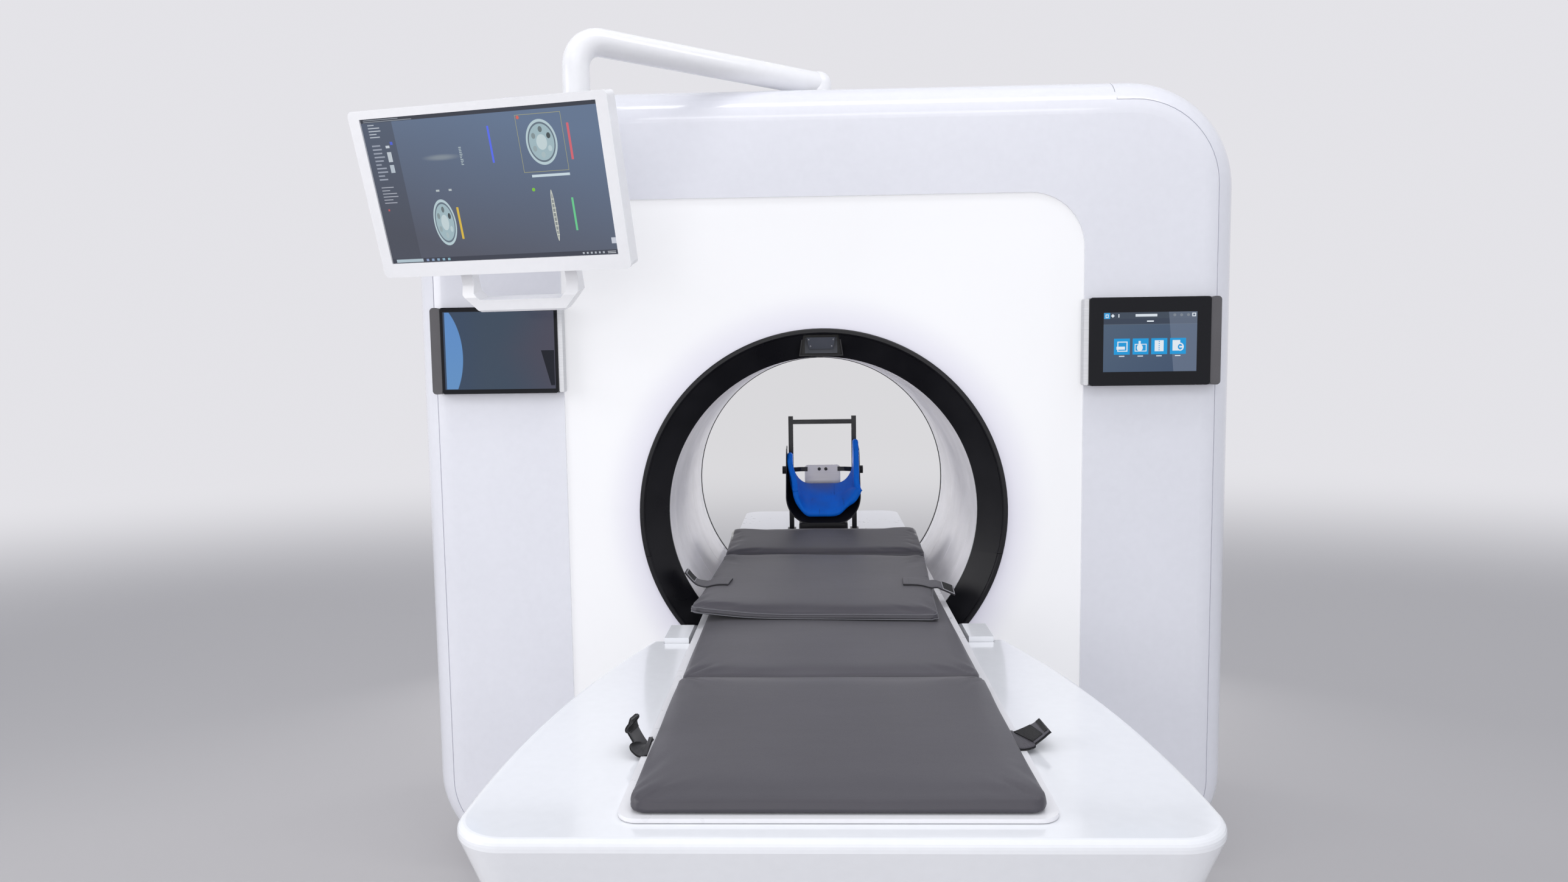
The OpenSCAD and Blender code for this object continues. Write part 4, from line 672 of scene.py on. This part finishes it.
def swell(blocks):
    """Blows the covers up by cloth: each block is remeshed evenly, its underside is pinned, the
    cover swells under pressure with gravity off, and no point ends further from its start than
    its reach. The result goes into the mesh, so no cloth is left on the piece."""
    steps, voxel, underside = 20, 0.0065, 0.004
    scene = bpy.context.scene
    scene.frame_start, scene.frame_end = 1, steps
    for obj, reach in blocks:
        even = obj.modifiers.new("even", "REMESH")
        even.mode, even.voxel_size = "VOXEL", voxel
    graph = bpy.context.evaluated_depsgraph_get()
    for obj, reach in blocks:
        mesh = bpy.data.meshes.new_from_object(obj.evaluated_get(graph))
        obj.modifiers.clear()
        obj.data = mesh
    for obj, reach in blocks:
        z = coordinates(obj.data)[:, 2]
        rest = obj.vertex_groups.new(name="rest")
        rest.add(np.nonzero(z < z.min() + underside)[0].tolist(), 1.0, "REPLACE")
        cloth = obj.modifiers.new("cover", "CLOTH")
        for key, value in (("quality", 4), ("mass", 0.3), ("use_pressure", True),
                ("uniform_pressure_force", 4.0), ("vertex_group_mass", "rest")):
            setattr(cloth.settings, key, value)
        cloth.settings.effector_weights.gravity = 0.0
        cloth.collision_settings.use_collision = False
        cloth.point_cache.frame_start, cloth.point_cache.frame_end = 1, steps
    for frame_no in range(1, steps + 1):
        scene.frame_set(frame_no)
    graph = bpy.context.evaluated_depsgraph_get()
    for obj, reach in blocks:
        start = coordinates(obj.data)
        move = coordinates(obj.evaluated_get(graph).data) - start
        far = np.linalg.norm(move, axis=1, keepdims=True) + 1e-9
        obj.modifiers.clear()
        obj.vertex_groups.clear()
        set_points(obj, start + move * reach * np.tanh(far / reach) / far)
    scene.frame_set(1)


def set_points(obj, co):
    obj.data.vertices.foreach_set("co", co.astype(np.float32).ravel())
    obj.data.update()


def settle_overlay(co, w, l):
    """The loose overlay's lie: its front left corner curls up off the pad below, and its front
    edge sags in the middle."""
    x, y, z = co.T
    curl = exp(-((x + w / 2) / 0.1) ** 2 - (y / 0.11) ** 2)
    sag = (1 - (2 * x / w) ** 2) * exp(-(y / 0.045) ** 2) * clip(z / 0.022, 0, 1)
    return stack([x, y, z + 0.012 * curl - 0.0025 * sag], -1)


def build_pads(cover, seam):
    """The four pads on the bed, each a covered slab that stands for its plain solid, and the
    sewn edges of the two upper ones. Returns the overlay's surface as a search tree."""
    blocks = []
    for name, (seat, w, l, t_front, t_rear, corner, reach, seed) in PADS.items():
        verts, faces = slab(w, l, t_front, t_rear, corner, seed)
        look = cover
        if name == "overlay_pad":
            look = wipe_clean_cover("overlay_cover", painted_shade_front=(seat[0], seat[1], radians(seat[3])))
        obj = finish_mesh(name + "_cover", verts, faces, look, "bed", "pad_grey")
        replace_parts(obj, name)
        blocks.append((obj, reach))
    swell(blocks)
    overlay = None
    for (obj, reach), (name, (seat, w, l, t_front, t_rear, corner, *rest)) in zip(blocks, PADS.items()):
        co, yaw = coordinates(obj.data), radians(seat[3])
        if name == "overlay_pad":
            co = settle_overlay(co, w, l)
        if name in ("overlay_pad", "head_pad"):
            tree = search_tree(obj.data, co)
            for part, share in (("upper", 0.86), ("lower", 0.12)):
                loop = rounded_loop(w / 2, l / 2, corner, 260)
                thick = t_front + (t_rear - t_front) * (loop[:, 1] / l + 0.5)
                path = stack([loop[:, 0], loop[:, 1] + l / 2, thick * share], -1)
                if name == "overlay_pad":
                    path = settle_overlay(path, w, l)
                path = array([tree.find_nearest(Vector(p))[0] for p in path])
                finish_mesh("%s_seam_%s" % (name.split("_")[0], part),
                        *piping(turn(path, seat[:3], yaw), 0.0011), seam, "bed", "pad_grey")
        co = turn(co, seat[:3], yaw)
        set_points(obj, co)
        obj.data.polygons.foreach_set("use_smooth", np.ones(len(obj.data.polygons), bool))
        if name == "overlay_pad":
            overlay = search_tree(obj.data, co)
    return overlay


def unit(vectors):
    return vectors / np.linalg.norm(vectors, axis=1)[:, None]


def piping(path, r, count=8):
    """A closed tube of radius r along a closed path: at each point a circle in the plane of the
    path's outward direction and the vertical."""
    ahead = unit(np.roll(path, -1, 0) - np.roll(path, 1, 0))
    out = unit(np.cross(ahead, [0.0, 0.0, 1.0]))
    up = np.cross(out, ahead)
    a = (arange(count) / count * 2 * pi)[None, :, None]
    points = path[:, None] + r * (np.cos(a) * out[:, None] + np.sin(a) * up[:, None])
    return points.reshape(-1, 3), grid_faces(len(path), count, True, True)[:, ::-1].tolist()


def run_along(path):
    """Distance from a path's start at each of its points."""
    return join([[0], np.cumsum(np.linalg.norm(np.diff(path, axis=0), axis=1))])


def ribbon(path, width, thick, across, lift):
    """A flat strap: a rectangle with rounded edges, with a width at each point of a path, carried
    along the path and lifted off it by a distance; across is the direction of the width at each
    point. UV runs in metres, u from the strap's middle and v along it."""
    ahead = unit(np.gradient(path, axis=0))
    across = unit(across - ahead * (across * ahead).sum(1)[:, None])
    out = np.cross(across, ahead)
    path = path + out * lift
    a = linspace(0, 2 * pi, 25)[:-1]
    cx = np.sign(np.cos(a)) * np.abs(np.cos(a)) ** 0.25 * width[:, None] / 2
    cz = np.sign(np.sin(a)) * np.abs(np.sin(a)) ** 0.6 * thick / 2
    points = path[:, None] + across[:, None] * cx[..., None] + out[:, None] * cz[None, :, None]
    uv = stack(np.broadcast_arrays(cx, run_along(path)[:, None]), -1).reshape(-1, 2)
    return *capped(points, False), uv


def smooth_path(points):
    """A Catmull-Rom curve through given points in millimetres, at even steps."""
    p = array(points, float) / 1000
    p = np.vstack([2 * p[0] - p[1], p, 2 * p[-1] - p[-2]])
    t = linspace(0, len(p) - 3 - 1e-9, RIBBON_STEPS)
    i = t.astype(int)
    f = (t - i)[:, None]
    a, b, c, d = p[i], p[i + 1], p[i + 2], p[i + 3]
    return 0.5 * (2 * b + (c - a) * f + (2 * a - 5 * b + 4 * c - d) * f ** 2 + (3 * b - a - 3 * c + d) * f ** 3)


def strap(name, rear, front, looks, web, thick, tail, surface=None):
    """One sewn strap between two smooth edges, with a black underside and, over a part of its
    length, a field of hook tape on a selvage. The black underside is a little wider than the strap:
    it is partly the real underside and partly a painted shadow line along the strap's edges. Where
    the strap lies on a pad, both edges follow it."""
    edges = [smooth_path(rear), smooth_path(front)]
    if surface is not None:
        for edge in edges:
            for p in edge:
                hit = surface.ray_cast(Vector((p[0], p[1], p[2] + 0.04)), Vector((0, 0, -1)), 0.08)[0]
                if hit is not None:
                    p[2] = max(p[2], hit.z + 0.0032)
            edge[3:-3, 2] = np.convolve(edge[:, 2], np.ones(7) / 7, "valid")
    path = (edges[0] + edges[1]) / 2
    across = (edges[0] - edges[1]) * (-1 if path[-1, 0] > 0 else 1)
    width = np.linalg.norm(across, axis=1)

    def layer(part, look, cut, more, t, lift):
        verts, faces, uv = ribbon(path[cut], width[cut] + more, t, across[cut], lift)
        return finish_mesh(name + part, verts, faces, looks[look], "bed", "strap_black", uv)

    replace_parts(layer("_web", web, slice(None), 0.0, thick * 0.6, 0.0), name)
    # black underside 0.8 mm wider than the strap: real underside plus a painted shadow along its edges
    layer("_under", "hook", slice(None), 0.0008, thick * 0.55, -thick * 0.5)
    above = thick * 0.3 + 0.0004
    for start, end, border in tail:
        i, j = int(start * (RIBBON_STEPS - 1)), int(end * (RIBBON_STEPS - 1))
        if border:
            layer("_selvage_%d" % i, "selvage", slice(i, j), -0.0016, 0.001, above)
        layer("_hooks_%d" % i, "hook", slice(i + 1, j - 1), -0.006, 0.0024, above)


def build_straps(looks, overlay):
    """Two straps on the overlay, and two that stand up from the foot pad's sides."""
    strap("strap_upper_left",
        [(-226, -397, 760), (-260, -393, 760), (-291, -390, 762.7), (-316, -389, 769.2), (-336.9, -389, 792.3)],
        [(-231, -456, 758), (-264, -452, 758), (-297.9, -450, 763.9), (-315, -449, 772.2), (-337.9, -448, 798.5)],
        looks, "webbing", 0.0042, [(0.76, 1.0, True)], overlay)
    strap("strap_upper_right",
        [(194, -411, 760), (230, -413, 760), (263.4, -415, 766.5), (287.7, -415, 761.7), (318.6, -415, 750.2)],
        [(189, -470, 757), (228, -472, 757), (267.5, -474, 762.4), (282.7, -474, 757.2), (310.5, -473, 744.5)],
        looks, "webbing", 0.0042, [(0.75, 1.0, True)], overlay)
    strap("strap_lower_left",
        [(-279.5, -1287, 716), (-289.5, -1286, 715), (-296.6, -1285, 718.5), (-305, -1285, 736.6),
         (-302.5, -1297, 750.5), (-301.5, -1300, 756)],
        [(-279.5, -1354, 714.5), (-286, -1355, 713.5), (-293.5, -1346, 723), (-309.5, -1335, 745),
         (-306.5, -1330, 756.5), (-305, -1327, 761.5)],
        looks, "black_web", 0.0046, [(0.55, 0.8, False), (0.84, 1.0, False)])
    strap("strap_lower_right",
        [(286, -1266, 716.5), (295.5, -1266, 716.5), (304, -1266, 719), (325.5, -1265, 729), (335, -1266, 738)],
        [(286, -1336, 716), (295.5, -1335, 716), (305.5, -1328, 718), (326.5, -1318, 728), (337, -1315, 734.5)],
        looks, "webbing", 0.0065, [(0.42, 0.76, False), (0.82, 1.0, False)])


def along(points, share):
    """Points at shares of the length of a bent line."""
    points, run = array(points), run_along(points)
    return stack([np.interp(share * run[-1], run, points[:, i]) for i in range(2)], -1)


def step(v, lo, hi):
    """Smooth step from 0 at lo to 1 at hi."""
    c = clip((v - lo) / (hi - lo), 0, 1)
    return c * c * (3 - 2 * c)


def cradle_lining(foam):
    """Foam lining of the head cradle. A profile runs down the left wing, round the trough and up
    the right wing. On each profile line the foam goes from a front edge to a rear edge, which
    the wings' slanted cuts give, with half-round edges and a dish that is thicker in the middle
    of its depth. Then the left wall leans in, the right front corner flares out, and folds
    press into the floor along smooth gaussian valleys."""
    t, up, rear_slant = 0.017, 0.6249, 0.3725
    wall_x, bend_x, bend_r, count = 0.1022, 0.0397, 0.0625, 34
    front_y, rear_y, rear_top = 0.166, 0.315, (0.3091, 0.9818)

    def trough(zc):
        """Heights of the front and rear edges over the trough's own height."""
        return 0.82875 + 1.179 * zc, 0.92186 + 1.179 * zc

    sides = []
    for side, cuts, slant, cut_z in ((-1, [(0.1759, 0.8986), (0.23, 0.994), (0.252, 1.01)], 0.533, 0.88),
            (1, [(0.172, 0.8962), (0.226, 1.03), (0.248, 1.052)], 0.441, 0.9)):
        rise = cuts[-1][1] - rear_top[1]
        q = linspace(0, 1, count)
        wall = (full(count, side * wall_x), along(cuts, q),
                along([rear_top, (rear_top[0] - rear_slant * rise, cuts[-1][1])], q),
                np.tile([float(side), 0.0, 0.0], (count, 1)))
        a = linspace(0, pi / 2, 20)[:-1]
        f, b = trough(0.054 - bend_r * np.sin(a))
        df = slant * clip(f - cut_z, 0, None) / (1 - up * slant)
        db = -rear_slant * clip(b - 0.966, 0, None) / (1 + up * rear_slant)
        corner = (side * (bend_x + bend_r * np.cos(a)), stack([front_y + df, f + up * df], -1),
                stack([rear_y + db, b + up * db], -1),
                stack([side * np.cos(a), 0.53 * np.sin(a), -0.848 * np.sin(a)], -1))
        sides.append([join([w[::-1], c]) for w, c in zip(wall, corner)])
    f, b = trough(full(count, -0.0085))
    floor = [linspace(-bend_x, bend_x, count), stack([full(count, front_y), f], -1),
            stack([full(count, rear_y), b], -1), np.tile([0, 0.53, -0.848], (count, 1))]
    x, front, rear, n = [join([l, m, r[::-1]]) for l, m, r in zip(sides[0], floor, sides[1])]
    ends = linspace(0, pi / 2, 6)[1:]
    x = join([full(5, x[0]), x, full(5, x[-1])])
    n = join([np.tile(n[0], (5, 1)), n, np.tile(n[-1], (5, 1))])
    lip = stack([0 * ends, 0.007 * np.sin(ends)], -1)
    front, rear = [join([(edge[0] + lip)[::-1], edge, edge[-1] + lip]) for edge in (front, rear)]
    slim = join([np.cos(ends)[::-1], np.ones(len(x) - 10), np.cos(ends)]) + 0.02
    length = np.linalg.norm(rear - front, axis=1)
    inner, outer, arc = linspace(1, 0, 44), linspace(0, 1, 16), linspace(0, pi, 11)[1:-1]
    depth = join([inner, 0 * arc, outer, 0 * arc + 1])
    over = join([0 * inner, -np.sin(arc), 0 * outer, np.sin(arc)])
    high = join([0 * inner - 1, -np.cos(arc), 0 * outer + 1, np.cos(arc)])
    r = t / 2
    along_v = (r + depth * (length[:, None] - t) + over * r) / length[:, None]
    mid = front[:, None] + (rear - front)[:, None] * along_v[..., None]
    flat = 1 - clip((np.abs(x) - 0.09) / 0.012, 0, 1)
    dish = 0.0035 * np.sin(pi * clip(along_v, 0, 1)) * flat[:, None] * (high < 0)
    off = high * r * slim[:, None] - dish
    px, py, pz = [base + n[:, None, i] * off for i, base in enumerate((x[:, None], mid[..., 0], mid[..., 1]))]
    lean = 0.018 * step(-px, 0.03, 0.095) * (1 - step(pz, 0.93, 1.005)) * exp(-((py - front_y) / 0.08) ** 2)
    behind = clip(py - front_y, 0, 1)
    flare = 0.014 * step(px, 0.05, 0.1) * exp(-((pz - 0.915) / 0.032) ** 2 - (behind / 0.016) ** 2)
    lift = 0.016 + 0.018 * exp(-((px - 0.078) / 0.026) ** 2)
    lift = lift * (1 - step(pz, 0.885, 0.92)) * (1 - step(py, 0.17, 0.27))
    sink = 0.0
    for cx, width, y0, y1, depth_mm in ((0.041, 0.0022, 0.18, 0.3, 1.5), (0.034, 0.0016, 0.24, 0.31, 1.2),
            (0.048, 0.0018, 0.2, 0.27, 0.9), (-0.039, 0.002, 0.27, 0.315, 1.3),
            (-0.016, 0.0022, 0.22, 0.3, 0.6), (0.012, 0.0025, 0.26, 0.31, 0.5)):
        bend = cx + 0.004 * np.sin((py - y0) * 38)
        window = step(py, y0, y0 + 0.02) * (1 - step(py, y1 - 0.02, y1))
        sink = sink + 0.001 * depth_mm * exp(-((px - bend) / width) ** 2) * window
    points = stack([px + lean + flare + 0.006, py, pz + lift - sink * (pz < 0.96) * (high < 0)], -1)
    obj = finish_mesh("cradle_lining", *capped(points), foam, "cradle", "cushion_blue")
    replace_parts(obj, "cradle_cushion")


def rest_block(mat):
    """The black block between the posts under the cradle, and the two screw heads that close the
    plate's holes: each a rounded form from rings of a rounded rectangle, domed at the end."""
    a = linspace(0, pi / 2, 6)
    lo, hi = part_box("headrest_plate")
    forms = [("rest_block", (0.006, 0.252, 0.733), 0.076, 0.036, 0.01, 0.072, 0.0)]
    forms += [("plate_screw_%d" % i, (0.006 + x, hi[1] - 0.0024, hi[2] - 0.013), 0.0053, 0.0053, 0.0052, 0.004,
            radians(90)) for i, x in enumerate((-0.0105, 0.0105))]
    for name, centre, hw, hl, r, high, tilt in forms:
        edge = min(0.005, high * 0.5)
        inset = join([[hl - 0.001, edge * 0.5, 0.0], edge * (1 - np.cos(a)), [hl - 0.001]])
        rise = join([[0.0, 0.0, edge * 0.5], high - edge + edge * np.sin(a), [high]])
        rings = [np.insert(rounded_loop(hw - d, hl - d, max(r - d, 0.0008), 120), 2, z, axis=1)
                for d, z in zip(inset, rise)]
        finish_mesh(name, *capped(turn(array(rings), centre, tilt=tilt)), mat, "bed", "rest_black")


# carried nodes

def dress_nodes():
    """Each carried node gets its finish. Returns the looks that other pieces share."""
    rest = moulded_matte("rest_black", (0.01, 0.01, 0.014), 0.36, 0.08, spec=0.35)
    foam, review = moulded_foam(), review_picture()
    for mat, names in (
            (moulded_gloss("gloss_shell", (0.8, 0.805, 0.86)),
             "front_panel wrap_shell rear_cover top_lid"),
            (lit_diffuser(), "light_diffuser"),
            (moulded_matte("ring_black", (0.005, 0.005, 0.007), 0.3, 0.05, spec=0.22),
             "bore_ring_upper bore_ring_lower rear_bore_ring"),
            (screwed_plate(), "sensor_module"),
            (moulded_matte("liner_white", (0.84, 0.825, 0.85), 0.55, 0.05, 400.0),
             "bore_liner"),
            (painted_steel("frame_paint", (0.16, 0.18, 0.21)),
             "gantry_frame drive_stator table_frame lift_outer_tube"),
            (brushed_metal("turned_steel", (0.6, 0.6, 0.61), 0.32),
             "bearing_outer_race bearing_inner_race arm_post monitor_yoke lift_inner_tube"),
            (brushed_metal("mill_alloy", (0.66, 0.67, 0.69), 0.38),
             "rotor_plate panel_trim_right panel_trim_left bed_carriage"),
            (painted_steel("source_paint", (0.5, 0.51, 0.53)), "xray_source"),
            (painted_steel("detector_paint", (0.03, 0.033, 0.04)), "flat_detector"),
            (painted_steel("generator_paint", (0.48, 0.49, 0.51)), "hv_generator"),
            (brushed_metal("contact_brass", (0.62, 0.44, 0.18), 0.3), "slip_ring"),
            (moulded_matte("panel_grey", (0.085, 0.082, 0.088), 0.48, 0.12),
             "panel_housing_right panel_housing_left"),
            (clear_front(), "panel_glass_right panel_glass_left panel_screen_right panel_screen_left"),
            (moulded_gloss("arm_lacquer", (0.88, 0.88, 0.9), 0.2),
             "arm_tube arm_link monitor_back monitor_bezel monitor_handle"),
            (moulded_gloss("bed_shell", (0.84, 0.85, 0.88), 0.14),
             "table_body table_lid bridge_cover"),
            (moulded_gloss("bed_plate", (0.84, 0.835, 0.86), 0.3, 0.2),
             "bed_board bed_keel"),
            (brushed_metal("rest_plate", (0.66, 0.64, 0.65), 0.5), "headrest_plate"),
            (foam, "cradle_cushion"),
            (review, "monitor_screen"),
            (rest, "brush_block headrest_base headrest_frame head_cradle cradle_knob_left cradle_knob_right "
                   "foot_pad mid_pad overlay_pad head_pad strap_upper_left strap_upper_right strap_lower_left "
                   "strap_lower_right")):
        for name in names.split():
            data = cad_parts[name].data
            data.materials.clear()
            data.materials.append(mat)
    return {"foam": foam, "rest": rest, "review": review, "hook": hook_tape(), "selvage": pale_selvage(),
            "webbing": webbing("strap_cover", (0.05, 0.047, 0.058)),
            "black_web": webbing("strap_black_web", (0.018, 0.018, 0.021))}


def monitor_face(mat):
    """The monitor's picture: a flat sheet 4 mm thick laid just in front of its node, leaned and
    turned like it, with the UV map's (0, 0) at the lower left."""
    w, h, thick, n = 0.532, 0.3, 0.004, 9
    u = linspace(0, 1, n)
    uv = stack(np.meshgrid(u, u, indexing="ij"), -1).reshape(-1, 2)
    front = stack([(uv[:, 0] - 0.5) * w, 0 * uv[:, 0], (uv[:, 1] - 0.5) * h], -1)
    verts = turn(np.vstack([front, front + [0.0, thick, 0.0]]), (-0.683, -0.755, 1.673),
            radians(-12.9), radians(17.2))
    faces, i = grid_faces(n, n), arange(n * n).reshape(n, n)
    rim = join([i[:-1, 0], i[-1, :-1], i[:0:-1, -1], i[0, :0:-1]])
    after = np.roll(rim, -1)
    sides = stack([rim, rim + n * n, after + n * n, after], -1)
    obj = finish_mesh("review_screen", verts, np.vstack([faces, faces[:, ::-1] + n * n, sides]).tolist(),
            mat, "monitor", "monitor_screen", np.tile(uv, (2, 1)), False)
    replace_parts(obj, "monitor_screen")


def panel_front(word, side, mat):
    """The touch panel's one-piece glass: rings of a rounded rectangle run from the middle of the
    face to its edge, over a 1 mm quarter round, and back down the side. UV covers the face."""
    a, edge = linspace(0, pi / 2, 5)[1:], 0.001
    inset = join([linspace(0.1, edge, 12), edge * (1 - np.sin(a)), [0.0, 0.0008, 0.02, 0.1]])
    depth = join([np.zeros(12), edge * (1 - np.cos(a)), [0.0034, 0.004, 0.004, 0.004]])
    rings = [np.insert(rounded_loop(PANEL_W / 2 - d, PANEL_H / 2 - d, max(0.008 - d, 0.002), 180), 1, k, axis=1)
            for d, k in zip(inset, depth)]
    verts, faces = capped(rings)
    uv = stack([verts[:, 0] / PANEL_W + 0.5, verts[:, 2] / PANEL_H + 0.5], -1)
    verts = verts + array([side * PANEL_X, PANEL_FRONT, PANEL_LOW + PANEL_H / 2])
    obj = finish_mesh("panel_front_" + word, verts, faces, mat, "gantry", "panel_glass", uv, False)
    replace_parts(obj, "panel_glass_" + word, "panel_screen_" + word)


# floor and light

def seen_as(look, mask, colour, rest):
    """Turns a look's surface, where mask is 1 and for the rays that see the background, into an
    even colour; elsewhere the surface is the shader rest."""
    mix = look.node("MixShader", {}, {0: look.seen() * mask, 1: rest,
            2: look.node("Emission", {}, {0: colour})})
    look.plug(look.tree.nodes["Material Output"].inputs[0], mix)


def stage():
    """A plain pale floor that fades into a pale wall with a painted shadow of the gantry behind the bore, and
    soft light from above and the left.
    """
    scene = bpy.context.scene
    scene.view_settings.view_transform = "Standard"
    wall = (0.775, 0.77, 0.805)
    floor = Look("pale_floor", (0.5, 0.485, 0.49), 0.5)
    x, y, z = floor.axes()
    seen_as(floor, radius(x, y).smooth(4.0, 10.5), wall, Sock(floor, floor.bsdf.outputs[0]))
    sheet = Look("pale_wall", wall, 0.6)
    x, y, z = sheet.axes()
    front = 1 - sheet.node("NewGeometry", out="Backfacing")
    # painted shadow: the wall is darker round the bore's axis, behind the gantry
    painted_gantry_shadow = radius(x, z - 0.9).smooth(0.9, 1.5)
    seen_as(sheet, z.smooth(0.0, 0.75) * front, sheet.blend(painted_gantry_shadow, (0.7, 0.695, 0.715), wall),
            sheet.node("BsdfTransparent"))
    # the wall's profile: a quarter round up from the floor, then straight
    a, bend_y, bend_r, far, top = linspace(0, pi / 2, 24), 2.2, 1.4, 12.0, 9.0
    profile = stack([bend_y + bend_r * np.sin(a), bend_r * (1 - np.cos(a)) + 0.001], -1).tolist()
    profile.append((bend_y + bend_r, top))
    flat = [(-far, -far, 0.0), (far, -far, 0.0), (far, far, 0.0), (-far, far, 0.0)]
    bend = [(side, y, z) for side in (-9.0, 9.0) for y, z in profile]
    add_mesh("floor", flat, [(0, 1, 2, 3)], floor.mat)
    add_mesh("wall", bend, grid_faces(2, len(profile)).tolist(), sheet.mat)

    scene.world = bpy.data.worlds.new("room")
    scene.world.use_nodes = True
    room = Tree(scene.world.node_tree)
    fill = room.tree.nodes["Background"]
    room.plug(fill.inputs[0], (0.9, 0.93, 1.0))
    room.plug(fill.inputs[1], 0.76)
    mix = room.node("MixShader", {}, {0: room.seen(), 1: Sock(room, fill.outputs[0]),
            2: room.node("Background", {}, {0: wall})})
    room.plug(room.tree.nodes["World Output"].inputs[0], mix)

    # name, place, angles in degrees, size and power
    for name, at, angles, size, power in (
            ("ceiling_front", (0.0, -2.4, 2.95), (0, 0, 0), (2.6, 0.35), 9.0),
            ("ceiling_near", (0.0, -3.6, 2.95), (0, 0, 0), (3.0, 0.6), 10.0),
            ("front", (0.0, -5.2, 1.25), (90, 0, 0), (3.4, 2.0), 36.0),
            ("ceiling_gantry", (0.4, -0.9, 2.98), (0, 0, 0), (2.2, 0.3), 9.0),
            ("bore_left", (-1.05, 1.75, 0.85), (93, 0, 217), (0.7, 0.4), 12.0),
            ("bore_right", (1.05, 1.75, 0.85), (93, 0, 143), (0.7, 0.4), 12.0),
            ("window", (-3.2, -2.2, 1.9), (0, -72, 0), (1.6, 2.2), 36.0)):
        data = bpy.data.lights.new(name, "AREA")
        data.shape = "RECTANGLE"
        data.size, data.size_y = size
        data.energy = power
        data.color = (1.0, 0.99, 0.98)
        lamp = bpy.data.objects.new(name, data)
        lamp.location, lamp.rotation_euler = at, [radians(angle) for angle in angles]
        scene.collection.objects.link(lamp)


# build

place_camera()
looks = dress_nodes()
# the piping's paler grey is a painted highlight along the sewn edges
overlay = build_pads(wipe_clean_cover("pad_cover"), wipe_clean_cover("seam_piping_painted_highlight", (0.12, 0.12, 0.135)))
build_straps(looks, overlay)
cradle_lining(looks["foam"])
rest_block(looks["rest"])
monitor_face(looks["review"])
panel_front("right", 1, panel_picture())
panel_front("left", -1, resting_picture_and_reflection())
stage()
